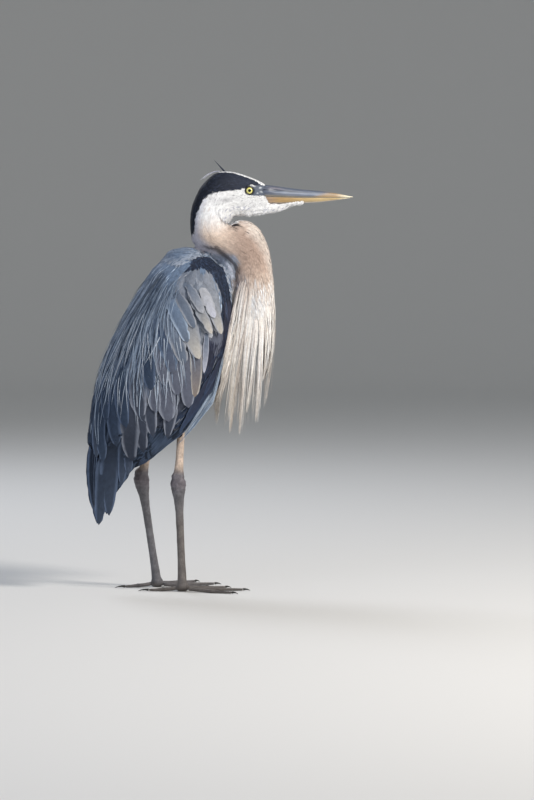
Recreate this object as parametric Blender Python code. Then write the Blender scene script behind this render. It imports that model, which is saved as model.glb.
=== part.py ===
"""A great blue heron standing at rest with its neck drawn in, life size, as a still museum model.

The bird faces +X and stands on the floor, Z = 0. All sizes are in metres. The plumage is part of
each solid, so the outline runs out to the tips of the feathers. Neighbouring pieces keep a thin
gap: a piece that lies on another is whole, and the piece beneath it is cut back for it.
"""

import math

import bmesh
import bpy
import numpy as np
from mathutils import Matrix, Vector

# Fits.
CUT_GROWTH = 0.0005  # how far a cutter stands off the piece that it makes room for
PART_GAP = 0.0004  # width of the cut between two lengths of one body
MIDLINE_GAP = 0.0007  # how far each half of the mantle keeps from the middle plane

# Eyes.
EYE_RADIUS = 0.0076
EYE_PLACE = (0.1175, 0.0126, 0.6790)  # the left one; the right one is its mirror image

# Legs: the middle of each ankle and of each foot's pad, right then left.
SIDES = {"right": -1.0, "left": 1.0}
ANKLE = {"right": (-0.0080, -0.031, 0.1850), "left": (-0.0620, 0.033, 0.1880)}
FOOT = {"right": (-0.0020, -0.038, 0.0080), "left": (-0.0340, 0.041, 0.0080)}
KNEE = {"right": (0.0005, -0.022, 0.3060), "left": (-0.0360, 0.023, 0.3000)}
SHANK_TOP = {"right": 0.60, "left": 0.50}  # share of the way from ankle to knee that is bare

# Toes: name, length without claw, angle from straight ahead (towards the middle is plus), how far
# off the foot's middle line the toe starts, claw length.
TOES = (
    ("middle_toe", 0.092, -7.0, -0.0005, 0.012),
    ("inner_toe", 0.072, 17.0, 0.0078, 0.011),
    ("outer_toe", 0.080, -34.0, -0.0088, 0.011),
    ("hallux", 0.046, 171.0, -0.0010, 0.018),
)
TOE_ROOT_RADIUS = 0.0036
TOE_START = 0.0108  # distance from the foot's middle to where a toe starts

# Cross-sections of the body in the middle plane, each from the back to the belly: dorsal X and Z,
# ventral X and Z, half width. The three tables make one body from the bill's base to the vent.
HEAD_ROWS = (
    (0.1525, 0.6885, 0.1525, 0.6405, 0.0118),
    (0.1410, 0.6948, 0.1385, 0.6388, 0.0142),
    (0.1242, 0.7023, 0.1230, 0.6378, 0.0168),
    (0.1000, 0.7102, 0.1040, 0.6368, 0.0192),
    (0.0768, 0.7128, 0.0950, 0.6350, 0.0212),
    (0.0560, 0.7065, 0.0895, 0.6310, 0.0226),
    (0.0345, 0.6850, 0.0845, 0.6258, 0.0238),
)
NECK_ROWS = (
    (0.0345, 0.6850, 0.0845, 0.6258, 0.0238),
    (0.0208, 0.6555, 0.0810, 0.6222, 0.0250),
    (0.0170, 0.6230, 0.0800, 0.6203, 0.0260),
    (0.0230, 0.5935, 0.0808, 0.6190, 0.0270),
    (0.0530, 0.5730, 0.0860, 0.6212, 0.0278),
    (0.0760, 0.5530, 0.0990, 0.6290, 0.0290),
    (0.0870, 0.5300, 0.1190, 0.6285, 0.0302),
    (0.0915, 0.5090, 0.1410, 0.6120, 0.0314),
    (0.0930, 0.4920, 0.1555, 0.5810, 0.0324),
    (0.0935, 0.4780, 0.1620, 0.5400, 0.0332),
    (0.0935, 0.4660, 0.1636, 0.4980, 0.0340),
    (0.0920, 0.4550, 0.1612, 0.4600, 0.0340),
)
TRUNK_ROWS = (
    (0.0100, 0.5800, 0.0500, 0.5740, 0.0160),
    (-0.0120, 0.5715, 0.0780, 0.5450, 0.0410),
    (-0.0380, 0.5490, 0.0920, 0.5000, 0.0555),
    (-0.0620, 0.5165, 0.0990, 0.4550, 0.0625),
    (-0.0840, 0.4780, 0.0970, 0.4150, 0.0655),
    (-0.1050, 0.4370, 0.0880, 0.3780, 0.0650),
    (-0.1240, 0.3940, 0.0640, 0.3340, 0.0610),
    (-0.1390, 0.3520, 0.0340, 0.3040, 0.0540),
    (-0.1480, 0.3100, 0.0030, 0.2800, 0.0440),
    (-0.1510, 0.2720, -0.0290, 0.2600, 0.0330),
    (-0.1480, 0.2400, -0.0600, 0.2420, 0.0220),
    (-0.1360, 0.2190, -0.0900, 0.2240, 0.0080),
)
# The wedge of feathers under the lower mandible.
CHIN_ROWS = (
    (0.2070, 0.6574, 0.2050, 0.6556, 0.0015),
    (0.1830, 0.6590, 0.1820, 0.6465, 0.0060),
    (0.1650, 0.6600, 0.1650, 0.6415, 0.0090),
    (0.1450, 0.6640, 0.1460, 0.6400, 0.0115),
    (0.1280, 0.6680, 0.1280, 0.6410, 0.0140),
)
# The throat's plumes where they hang clear of the breast, before they part into locks.
BIB_ROWS = (
    (0.0915, 0.4542, 0.1608, 0.4592, 0.0338),
    (0.0870, 0.4250, 0.1560, 0.4280, 0.0325),
    (0.0820, 0.3920, 0.1520, 0.3940, 0.0290),
    (0.0750, 0.3620, 0.1450, 0.3620, 0.0230),
    (0.0800, 0.3380, 0.1330, 0.3360, 0.0120),
)
BIB_LOCKS = 13
BIB_SPAN = (0.060, 0.152)  # X of the rearmost and the foremost lock's tip
BIB_LOWEST = 0.2530  # Z of the longest lock's tip
BIB_RISE = 0.072  # how much higher the outermost locks end

# Plates that lie on the body: rear edge X, Y, Z, front edge X, Y, Z, how far the plate bulges
# out between its edges, and half its thickness. Y is for the left side.
WING_ROWS = (
    (-0.0080, 0.022, 0.5610, 0.0330, 0.026, 0.5660, 0.0050, 0.0040),
    (-0.0280, 0.038, 0.5340, 0.0620, 0.036, 0.5460, 0.0130, 0.0060),
    (-0.0460, 0.047, 0.4980, 0.0725, 0.045, 0.5030, 0.0170, 0.0070),
    (-0.0640, 0.050, 0.4580, 0.0710, 0.049, 0.4520, 0.0190, 0.0072),
    (-0.0800, 0.050, 0.4180, 0.0610, 0.052, 0.4010, 0.0180, 0.0070),
    (-0.0960, 0.047, 0.3770, 0.0480, 0.052, 0.3550, 0.0160, 0.0066),
    (-0.1080, 0.044, 0.3350, 0.0300, 0.051, 0.3170, 0.0130, 0.0060),
    (-0.1140, 0.041, 0.2930, 0.0020, 0.048, 0.2820, 0.0100, 0.0052),
    (-0.1140, 0.038, 0.2540, -0.0300, 0.045, 0.2470, 0.0070, 0.0042),
    (-0.1100, 0.035, 0.2190, -0.0600, 0.041, 0.2140, 0.0040, 0.0032),
    (-0.1080, 0.032, 0.1900, -0.0830, 0.036, 0.1870, 0.0020, 0.0024),
    (-0.1070, 0.030, 0.1670, -0.1010, 0.031, 0.1650, 0.0000, 0.0012),
)
MANTLE_ROWS = (
    (0.0090, 0.000, 0.5850, 0.0380, 0.024, 0.5740, 0.0050, 0.0030),
    (-0.0220, 0.000, 0.5740, 0.0300, 0.050, 0.5430, 0.0120, 0.0042),
    (-0.0490, 0.000, 0.5450, 0.0120, 0.070, 0.5050, 0.0150, 0.0048),
    (-0.0730, 0.000, 0.5080, -0.0050, 0.077, 0.4620, 0.0160, 0.0050),
    (-0.0940, 0.000, 0.4710, -0.0200, 0.079, 0.4200, 0.0160, 0.0050),
    (-0.1130, 0.000, 0.4350, -0.0380, 0.076, 0.3780, 0.0150, 0.0050),
    (-0.1300, 0.000, 0.3980, -0.0580, 0.069, 0.3360, 0.0130, 0.0048),
    (-0.1440, 0.000, 0.3600, -0.0800, 0.059, 0.2980, 0.0100, 0.0045),
    (-0.1530, 0.000, 0.3200, -0.1040, 0.046, 0.2660, 0.0070, 0.0038),
    (-0.1565, 0.000, 0.2780, -0.1280, 0.028, 0.2420, 0.0035, 0.0028),
    (-0.1570, 0.000, 0.2480, -0.1480, 0.009, 0.2340, 0.0010, 0.0014),
)
# The tail is folded like a roof ridge along the back: ridge X, edge X, edge half spread, Z, half
# thickness.
TAIL_ROWS = (
    (-0.1480, -0.1250, 0.014, 0.2900, 0.0036),
    (-0.1540, -0.1200, 0.019, 0.2520, 0.0036),
    (-0.1575, -0.1140, 0.024, 0.2160, 0.0034),
    (-0.1580, -0.1110, 0.027, 0.1840, 0.0030),
    (-0.1550, -0.1130, 0.025, 0.1530, 0.0025),
    (-0.1490, -0.1220, 0.018, 0.1290, 0.0019),
    (-0.1420, -0.1330, 0.008, 0.1110, 0.0012),
)
# The bill: X, Z of the edge that meets the other mandible, depth, half width.
UPPER_BILL_ROWS = (
    (0.1360, 0.6694, 0.0190, 0.0100),
    (0.1530, 0.6693, 0.0193, 0.0112),
    (0.1820, 0.6683, 0.0165, 0.0092),
    (0.2120, 0.6676, 0.0135, 0.0072),
    (0.2410, 0.6676, 0.0110, 0.0053),
    (0.2600, 0.6677, 0.0086, 0.0040),
    (0.2800, 0.6677, 0.0050, 0.0026),
    (0.3005, 0.6680, 0.0009, 0.0005),
)
LOWER_BILL_ROWS = (
    (0.1420, 0.6688, 0.0120, 0.0098),
    (0.1530, 0.6687, 0.0124, 0.0104),
    (0.1820, 0.6677, 0.0105, 0.0086),
    (0.2120, 0.6670, 0.0088, 0.0067),
    (0.2410, 0.6670, 0.0076, 0.0048),
    (0.2640, 0.6671, 0.0050, 0.0033),
    (0.2840, 0.6671, 0.0024, 0.0019),
    (0.2950, 0.6673, 0.0008, 0.0005),
)
# Crest plumes: the points of each one's path, X and Z, and its root radius.
CREST_PLUMES = {
    "crest_plume_raised": (((0.0800, 0.7095), (0.0700, 0.7200), (0.0592, 0.7310)), 0.0011),
    "crest_plume_lying": (
        ((0.0700, 0.7105), (0.0560, 0.7110), (0.0450, 0.7045), (0.0350, 0.6960)),
        0.0009,
    ),
}

# Where the body is parted: a point of each cut's plane (X, Z) and its other end (X, Z).
HEAD_CUT = ((0.0345, 0.6850), (0.0845, 0.6258))
NECK_CUTS = (((0.0530, 0.5730), (0.0860, 0.6212)), ((0.0915, 0.5090), (0.1410, 0.6120)))
WING_CUT = ((-0.1400, 0.3050), (0.0300, 0.2570))

BODY_RING, HEAD_RING, PLATE_RING, LIMB_RING, TOE_RING = 18, 16, 12, 10, 8


def material(name, colour, roughness):
    """A plain finish: colour is the red, green and blue of the surface, linear."""
    found = bpy.data.materials.new(name)
    found.use_nodes = True
    shader = found.node_tree.nodes["Principled BSDF"]
    shader.inputs["Base Color"].default_value = (*colour, 1.0)
    shader.inputs["Roughness"].default_value = roughness
    shader.inputs["Metallic"].default_value = 0.0
    return found


def spline(rows, per_span):
    """Rows of numbers interpolated by a Catmull-Rom curve, per_span steps between two rows."""
    rows = np.array(rows, float)
    padded = np.vstack([2 * rows[0] - rows[1], rows, 2 * rows[-1] - rows[-2]])
    made = []
    for i in range(len(rows) - 1):
        a, b, c, d = padded[i : i + 4]
        for k in range(per_span):
            t = k / per_span
            made.append(
                0.5
                * (
                    2 * b
                    + (c - a) * t
                    + (2 * a - 5 * b + 4 * c - d) * t**2
                    + (3 * b - a - 3 * c + d) * t**3
                )
            )
    made.append(rows[-1])
    return np.array(made)


def loft(name, rings, finish):
    """A closed solid through rings of equal length, with flat ends and outward faces."""
    mesh = bmesh.new()
    rows = [[mesh.verts.new(point) for point in ring] for ring in rings]
    for lower, upper in zip(rows, rows[1:]):
        count = len(lower)
        for i in range(count):
            j = (i + 1) % count
            mesh.faces.new((lower[i], lower[j], upper[j], upper[i]))
    mesh.faces.new(rows[0][::-1])
    mesh.faces.new(rows[-1])
    bmesh.ops.recalc_face_normals(mesh, faces=mesh.faces)
    return to_object(name, mesh, finish)


def to_object(name, mesh, finish):
    """A smooth-shaded object from a bmesh, which is freed."""
    data = bpy.data.meshes.new(name)
    mesh.to_mesh(data)
    mesh.free()
    data.materials.append(finish)
    data.shade_smooth()
    made = bpy.data.objects.new(name, data)
    bpy.context.scene.collection.objects.link(made)
    return made


def oval_rings(rows, count, squareness=2.0):
    """Rings of a body whose rows are dorsal X and Z, ventral X and Z, and half width."""
    rings = []
    for dorsal_x, dorsal_z, ventral_x, ventral_z, half in rows:
        middle = Vector((dorsal_x + ventral_x, 0, dorsal_z + ventral_z)) / 2
        up = Vector((dorsal_x - ventral_x, 0, dorsal_z - ventral_z)) / 2
        ring = []
        for i in range(count):
            angle = 2 * math.pi * i / count
            rise, out = math.cos(angle), math.sin(angle)
            rise = math.copysign(abs(rise) ** (2 / squareness), rise)
            out = math.copysign(abs(out) ** (2 / squareness), out)
            ring.append(middle + up * rise + Vector((0, half * out, 0)))
        rings.append(ring)
    return rings


def plate_ring(rear, front, outward, bulge, half_thickness, count):
    """A thin curved section from one edge point to the other that bulges along outward."""
    ring = []
    for i in range(count):
        angle = 2 * math.pi * i / count
        across = (1 - math.cos(angle)) / 2
        stand = bulge * 4 * across * (1 - across) + half_thickness * math.sin(angle)
        ring.append(rear.lerp(front, across) + outward * stand)
    return ring


def plate_rings(rows, side):
    """Rings of a wing or of half the mantle. side is 1 for the left and -1 for the right."""
    rings = []
    middles = [Vector(((r[0] + r[3]) / 2, side * (r[1] + r[4]) / 2, (r[2] + r[5]) / 2)) for r in rows]
    for i, row in enumerate(rows):
        rear = Vector((row[0], side * max(row[1], MIDLINE_GAP), row[2]))
        front = Vector((row[3], side * row[4], row[5]))
        along = middles[min(i + 1, len(rows) - 1)] - middles[max(i - 1, 0)]
        outward = (front - rear).cross(along).normalized() * side
        rings.append(plate_ring(rear, front, outward, row[6], row[7], PLATE_RING))
    return rings


def sweep_rings(path, radii, count, flat_at=None):
    """Rings round a path. radii holds (in the path's upright plane, across it) for each point.

    flat_at is the height below which a ring is pressed flat, such as the floor.
    """
    path = [Vector(point) for point in path]
    rings = []
    for i, (point, (upright, across)) in enumerate(zip(path, radii)):
        along = (path[min(i + 1, len(path) - 1)] - path[max(i - 1, 0)]).normalized()
        lean = Vector((0, 0, 1)) if abs(along.z) < 0.8 else Vector((1, 0, 0))
        sideways = along.cross(lean).normalized()
        up = sideways.cross(along)
        ring = []
        for k in range(count):
            angle = 2 * math.pi * k / count
            corner = point + up * upright * math.cos(angle) + sideways * across * math.sin(angle)
            if flat_at is not None:
                corner.z = max(corner.z, flat_at)
            ring.append(corner)
        rings.append(ring)
    return rings


def arch_rings(rows, downward, count):
    """Rings of a mandible: flat on the side that meets the other mandible, arched on its own."""
    rings = []
    for x, edge_z, depth, half in rows:
        sign = -1 if downward else 1
        ring = []
        for i in range(count):
            angle = math.pi * i / (count - 1)
            rise = depth * math.sin(angle) ** 0.85
            ring.append(Vector((x, half * math.cos(angle), edge_z + sign * rise)))
        rings.append(ring)
    return rings


def boolean(target, tool, operation):
    """Applies a Boolean of tool to target's mesh."""
    modifier = target.modifiers.new("join", "BOOLEAN")
    modifier.operation = operation
    modifier.solver = "EXACT"
    modifier.object = tool
    graph = bpy.context.evaluated_depsgraph_get()
    made = bpy.data.meshes.new_from_object(target.evaluated_get(graph), depsgraph=graph)
    target.modifiers.clear()
    old, target.data = target.data, made
    bpy.data.meshes.remove(old)


def make_room(target, *pieces):
    """Cuts target back so that it clears each of the pieces that lie on it or in it."""
    for piece in pieces:
        grown = bmesh.new()
        grown.from_mesh(piece.data)
        grown.normal_update()
        for corner, shift in [(v, v.normal * CUT_GROWTH) for v in grown.verts]:
            corner.co += shift
        cutter = to_object("cutter", grown, piece.data.materials[0])
        boolean(target, cutter, "DIFFERENCE")
        bpy.data.objects.remove(cutter)
    keep_largest(target)


def keep_largest(target):
    """Drops the small shavings that cuts leave beside a piece, and leaves it in triangles."""
    mesh = bmesh.new()
    mesh.from_mesh(target.data)
    bmesh.ops.remove_doubles(mesh, verts=mesh.verts, dist=1e-6)
    bmesh.ops.dissolve_degenerate(mesh, edges=mesh.edges, dist=1e-6)
    left, islands = set(mesh.faces), []
    while left:
        island, todo = set(), [left.pop()]
        while todo:
            face = todo.pop()
            island.add(face)
            near = {other for edge in face.edges for other in edge.link_faces} & left
            left -= near
            todo += near
        islands.append(island)
    islands.sort(key=lambda island: sum(face.calc_area() for face in island))
    for island in islands[:-1]:
        bmesh.ops.delete(mesh, geom=list(island), context="FACES")
    bmesh.ops.triangulate(mesh, faces=mesh.faces)
    mesh.to_mesh(target.data)
    mesh.free()


def slab(first, second, name="cutter"):
    """A thin slab square to the middle plane whose trace there runs from first to second."""
    first, second = Vector((first[0], 0, first[1])), Vector((second[0], 0, second[1]))
    along = (second - first).normalized()
    across = along.cross(Vector((0, 1, 0)))
    turn = Matrix((along, Vector((0, 1, 0)), across)).transposed().to_4x4()
    mesh = bmesh.new()
    reach = 2 * (second - first).length + 0.2
    size = Matrix.Diagonal((reach, 0.4, PART_GAP, 1))
    place = Matrix.Translation((first + second) / 2) @ turn @ size
    bmesh.ops.create_cube(mesh, size=1, matrix=place)
    return to_object(name, mesh, bpy.data.materials[0])


def part_in_two(whole, cut, names):
    """Parts a solid along a thin cut. names are for the side behind or above it, then the other."""
    cutter = slab(*cut)
    boolean(whole, cutter, "DIFFERENCE")
    bpy.data.objects.remove(cutter)
    first, second = Vector((cut[0][0], 0, cut[0][1])), Vector((cut[1][0], 0, cut[1][1]))
    normal = Vector((0, 1, 0)).cross(second - first)
    made = []
    for name, sign in zip(names, (-1, 1)):
        mesh = bmesh.new()
        mesh.from_mesh(whole.data)
        strays = [v for v in mesh.verts if (v.co - first).dot(normal) * sign < 0]
        bmesh.ops.delete(mesh, geom=strays, context="VERTS")
        made.append(to_object(f"{name}_part", mesh, whole.data.materials[0]))
        keep_largest(made[-1])
    bpy.data.objects.remove(whole)
    for name, piece in zip(names, made):
        piece.name = name
    return made


def make_bill(finish):
    """The two mandibles."""
    upper = loft("bill_upper", arch_rings(spline(UPPER_BILL_ROWS, 2), False, 9), finish)
    lower = loft("bill_lower", arch_rings(spline(LOWER_BILL_ROWS, 2), True, 9), finish)
    return upper, lower


def make_eyes(finish):
    """The two eyeballs."""
    eyes = []
    for side, sign in SIDES.items():
        mesh = bmesh.new()
        x, y, z = EYE_PLACE
        turn = Matrix.Rotation(math.pi / 2, 4, "X")
        place = Matrix.Translation((x, sign * y, z)) @ turn
        bmesh.ops.create_uvsphere(
            mesh, u_segments=12, v_segments=6, radius=EYE_RADIUS, matrix=place
        )
        eyes.append(to_object(f"eye_{side}", mesh, finish))
    return eyes


def make_crest(finish):
    """The plumes at the back of the crown."""
    plumes = []
    for name, (points, radius) in CREST_PLUMES.items():
        path = [(x, 0.0, z) for x, z in spline(points, 3)]
        steps = len(path)
        radii = [(radius * (1 - 0.7 * i / steps),) * 2 for i in range(steps)]
        plumes.append(loft(name, sweep_rings(path, radii, 6), finish))
    return plumes


def make_bib(finish):
    """The long plumes of the throat: one mass at the top, and the locks that hang from it."""
    bib = loft("breast_plumes", oval_rings(spline(BIB_ROWS, 2), 16), finish)
    locks = []
    for i in range(BIB_LOCKS):
        share = i / (BIB_LOCKS - 1)
        off_middle = 2 * abs(share - 0.5)
        tip_x = BIB_SPAN[0] + (BIB_SPAN[1] - BIB_SPAN[0]) * share
        tip_z = BIB_LOWEST + BIB_RISE * off_middle**1.7 + 0.020 * (i % 3)
        tip_y = 0.022 * math.sin(2.4 * i)
        root_x = 0.086 + 0.058 * share
        points = (
            (root_x, tip_y * 0.5, 0.3955 + 0.0007 * i),
            (0.4 * root_x + 0.6 * tip_x, tip_y * 0.9, 0.335),
            (0.1 * root_x + 0.9 * tip_x, tip_y, 0.5 * tip_z + 0.155),
            (tip_x, tip_y, tip_z),
        )
        radii = ((0.0070, 0.0060), (0.0055, 0.0050), (0.0034, 0.0030), (0.0006, 0.0006))
        locks.append(loft("lock", sweep_rings(points, radii, 5), finish))
    return bib, locks


def make_tail(finish):
    """The folded tail: a narrow roof along the back, its ridge behind and its edges forward."""
    rings = []
    for ridge_x, edge_x, spread, z, half in spline(TAIL_ROWS, 2):
        right, left = Vector((edge_x, -spread, z)), Vector((edge_x, spread, z + 0.0001))
        rings.append(
            plate_ring(right, left, Vector((-1, 0, 0)), edge_x - ridge_x - half, half, PLATE_RING)
        )
    return loft("tail", rings, finish)


def make_leg(side, skin, down, horn):
    """One leg from the feathered thigh to the claws."""
    sign = SIDES[side]
    knee, ankle, foot = Vector(KNEE[side]), Vector(ANKLE[side]), Vector(FOOT[side])
    bare = SHANK_TOP[side]
    top = ankle.lerp(knee, bare)
    thigh_path = [knee.lerp(top, t) for t in (-0.25, 0.2, 0.6, 0.88, 1.04)]
    thigh_radii = ((0.016, 0.012), (0.024, 0.017), (0.020, 0.014), (0.0125, 0.0100), (0.0095, 0.0082))
    thigh = loft(f"thigh_{side}", sweep_rings(thigh_path, thigh_radii, 12), down)
    shank_path = [ankle.lerp(knee, t) for t in (0.07, 0.16, 0.30, bare, bare + 0.1)]
    shank_radii = ((0.0108, 0.0088), (0.0080, 0.0068), (0.0066, 0.0058), (0.0064, 0.0056), (0.0066, 0.0058))
    shank = loft(f"shank_{side}", sweep_rings(shank_path, shank_radii, LIMB_RING), skin)
    make_room(thigh, shank)

    shares = (-0.030, 0.0, 0.045, 0.10, 0.16, 0.28, 0.5, 0.75, 0.90, 0.965)
    tarsus_radii = (
        (0.0112, 0.0090),
        (0.0134, 0.0105),
        (0.0132, 0.0104),
        (0.0112, 0.0086),
        (0.0088, 0.0070),
        (0.0069, 0.0056),
        (0.0063, 0.0052),
        (0.0064, 0.0056),
        (0.0074, 0.0070),
        (0.0084, 0.0092),
    )
    tarsus_path = [ankle.lerp(foot, t) for t in shares]
    tarsus = loft(f"tarsus_{side}", sweep_rings(tarsus_path, tarsus_radii, LIMB_RING), skin)
    make_room(shank, tarsus)

    pad_path = [foot + Vector((x, 0, 0)) for x in (-0.0095, -0.0075, 0.0, 0.0070, 0.0098)]
    pad_radii = ((0.0045, 0.0050), (0.0080, 0.0082), (0.0086, 0.0112), (0.0080, 0.0118), (0.0046, 0.0100))
    pad = loft(f"foot_{side}", sweep_rings(pad_path, pad_radii, LIMB_RING, flat_at=0.0), skin)
    make_room(tarsus, pad)

    for name, length, angle, offset, claw_length in TOES:
        turn = Matrix.Rotation(math.radians(-sign * angle), 3, "Z")
        ahead = turn @ Vector((1, 0, 0))
        start = foot + Vector((0, -sign * offset, 0)) + ahead * TOE_START
        make_toe(f"{name}_{side}", start, ahead, length, skin)
        make_claw(f"{name}_claw_{side}", start + ahead * (length + PART_GAP), ahead, claw_length, horn)


def make_toe(name, start, ahead, length, finish):
    """One toe along the floor, with a low swelling at each joint and a flat sole."""
    path, radii = [], []
    steps = 6
    for i in range(steps + 1):
        share = i / steps
        radius = TOE_ROOT_RADIUS * (1.10 - 0.36 * share)
        swelling = 1 + 0.14 * math.cos(2 * math.pi * share * 2)
        if i in (0, steps):
            swelling = 0.86
        height = radius * 0.78 + 0.0022 * (1 - share) ** 3
        path.append(Vector((start.x, start.y, 0)) + ahead * length * share + Vector((0, 0, height)))
        radii.append((radius * swelling, radius * swelling))
    return loft(name, sweep_rings(path, radii, TOE_RING, flat_at=0.0), finish)


def make_claw(name, start, ahead, length, finish):
    """A curved claw whose tip comes down to the floor."""
    path, radii = [], []
    for share in (0.0, 0.3, 0.65, 1.0):
        height = 0.0026 + 0.0012 * math.sin(math.pi * share) - 0.0018 * share
        path.append(Vector((start.x, start.y, height)) + ahead * length * share)
        radii.append((0.0022 * (1 - 0.84 * share), 0.0017 * (1 - 0.80 * share)))
    return loft(name, sweep_rings(path, radii, 6, flat_at=0.0), finish)


def centre_on_floor():
    """Hangs every piece, its origin in its own middle, on one empty that centres the bird."""
    pieces = list(bpy.context.scene.objects)
    corners = np.array([v.co for piece in pieces for v in piece.data.vertices])
    low, high = corners.min(axis=0), corners.max(axis=0)
    heron = bpy.data.objects.new("heron", None)
    heron.location = (-(low[0] + high[0]) / 2, -(low[1] + high[1]) / 2, -low[2])
    bpy.context.scene.collection.objects.link(heron)
    for piece in pieces:
        own = np.array([v.co for v in piece.data.vertices])
        middle = Vector((own.min(axis=0) + own.max(axis=0)) / 2)
        piece.data.transform(Matrix.Translation(-middle))
        piece.location = middle
        piece.parent = heron


def main():
    """Builds the heron piece by piece."""
    for old in list(bpy.data.objects):
        bpy.data.objects.remove(old)
    white = material("white_face_feathers", (0.72, 0.72, 0.72), 0.85)
    buff = material("buff_neck_feathers", (0.55, 0.42, 0.34), 0.85)
    cream = material("cream_plumes", (0.70, 0.66, 0.58), 0.80)
    slate = material("slate_body_feathers", (0.07, 0.09, 0.13), 0.80)
    blue_grey = material("blue_grey_wing_feathers", (0.20, 0.24, 0.32), 0.75)
    dark_slate = material("dark_slate_flight_feathers", (0.05, 0.07, 0.11), 0.65)
    chestnut = material("chestnut_thigh_feathers", (0.30, 0.13, 0.07), 0.85)
    black = material("black_crest_plume", (0.02, 0.02, 0.03), 0.60)
    bill_horn = material("bill_horn", (0.62, 0.45, 0.20), 0.40)
    leg_skin = material("scaly_leg_skin", (0.24, 0.20, 0.17), 0.60)
    claw_horn = material("claw_horn", (0.05, 0.045, 0.04), 0.45)
    eye_gloss = material("yellow_eye", (0.80, 0.68, 0.10), 0.10)

    bill_upper, bill_lower = make_bill(bill_horn)
    eyes = make_eyes(eye_gloss)
    crest = make_crest(black)
    head = loft("head", oval_rings(spline(HEAD_ROWS, 2), HEAD_RING), white)
    chin = loft("chin", oval_rings(spline(CHIN_ROWS, 2), 12), white)
    boolean(head, chin, "UNION")
    bpy.data.objects.remove(chin)
    make_room(head, bill_upper, bill_lower, *eyes, *crest)

    neck = loft("neck", oval_rings(spline(NECK_ROWS, 2), HEAD_RING), buff)
    mantles, wings = [
        [loft(f"{name}_{side}", plate_rings(rows, sign), blue_grey) for side, sign in SIDES.items()]
        for name, rows in (("mantle", MANTLE_ROWS), ("wing", WING_ROWS))
    ]
    tail = make_tail(dark_slate)
    bib, locks = make_bib(cream)
    trunk = loft("trunk", oval_rings(TRUNK_ROWS, BODY_RING, 2.1), slate)
    for side in SIDES:
        make_leg(side, leg_skin, chestnut, claw_horn)

    for lock in locks:
        make_room(lock, trunk)
    make_room(trunk, *mantles, *wings, tail, neck, bib)
    for lock in locks:
        boolean(bib, lock, "UNION")
        bpy.data.objects.remove(lock)
    keep_largest(bib)
    for wing, mantle in zip(wings, mantles):
        make_room(wing, mantle, tail)
    make_room(neck, *mantles, *wings)
    make_room(tail, *mantles)
    for side in SIDES:
        make_room(bpy.data.objects[f"shank_{side}"], trunk)
        make_room(bpy.data.objects[f"thigh_{side}"], trunk)

    boolean(head, slab(*HEAD_CUT, name="head_cut"), "DIFFERENCE")
    bpy.data.objects.remove(bpy.data.objects["head_cut"])
    keep_largest(head)
    _, rest = part_in_two(neck, NECK_CUTS[0], ("neck_upper", "neck_rest"))
    part_in_two(rest, NECK_CUTS[1], ("neck_middle", "neck_lower"))
    for wing, side in zip(wings, SIDES):
        _, primaries = part_in_two(wing, WING_CUT, (f"wing_{side}", f"primaries_{side}"))
        primaries.data.materials[0] = dark_slate
    centre_on_floor()


main()
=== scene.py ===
"""The looks of a great blue heron at rest: skin, plumage, bill, eyes, legs, floor, light and camera.

Lengths are in metres. Places on the bird are written in the bird's own frame: X towards the bill
and Z up from the floor, with the eyes' middle at EYES. The frame's node boxes tie it to the model.
"""

import logging
import math
from dataclasses import dataclass, field
from enum import Enum, IntEnum

import bpy
import numpy as np
from mathutils import Matrix, Vector
from mathutils.bvhtree import BVHTree


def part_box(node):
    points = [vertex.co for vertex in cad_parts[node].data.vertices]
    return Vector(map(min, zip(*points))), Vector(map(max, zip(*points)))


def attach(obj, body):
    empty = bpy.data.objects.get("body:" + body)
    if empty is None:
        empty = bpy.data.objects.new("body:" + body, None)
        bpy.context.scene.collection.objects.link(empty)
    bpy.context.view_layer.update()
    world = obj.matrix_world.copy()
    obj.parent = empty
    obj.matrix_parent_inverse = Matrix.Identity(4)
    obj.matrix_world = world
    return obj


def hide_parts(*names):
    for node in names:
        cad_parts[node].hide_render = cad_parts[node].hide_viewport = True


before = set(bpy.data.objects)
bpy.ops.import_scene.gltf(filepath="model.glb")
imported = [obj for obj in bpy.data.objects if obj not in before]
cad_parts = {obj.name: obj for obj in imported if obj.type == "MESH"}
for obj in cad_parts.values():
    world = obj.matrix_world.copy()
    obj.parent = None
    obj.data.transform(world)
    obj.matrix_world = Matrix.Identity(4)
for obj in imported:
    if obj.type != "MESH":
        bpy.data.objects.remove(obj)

Array = np.ndarray
Material = bpy.types.Material
Socket = bpy.types.NodeSocket

log = logging.getLogger("heron")

BODY = "root"
SIDES = {"right": -1.0, "left": 1.0}
EYES = (0.1175, 0.6790)  # X and Z of the point midway between the eyes
BAKE_MAP, VANE_MAP = "OFBake", "vane"
SINK = 0.0004  # how deep a small feather's root sits in the skin
HALF_VANE = 0.0002  # half of a vane's thickness
LEAST_BLADE = 0.00012  # least half thickness of a blade
PATCH = 0.003  # side of one feather's patch on the bake map
SHARP = math.radians(50)  # edges of feathers bent further than this are shaded sharp
MOST_TRIANGLES = 180_000  # in one coat piece
TOES = ("middle_toe", "inner_toe", "outer_toe", "hallux")


class Palette(Enum):
    """Colours, as sRGB."""

    @property
    def rgb(self) -> Array:
        """Linear red, green and blue."""
        return np.array(linear(self.value)[:3])


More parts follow.
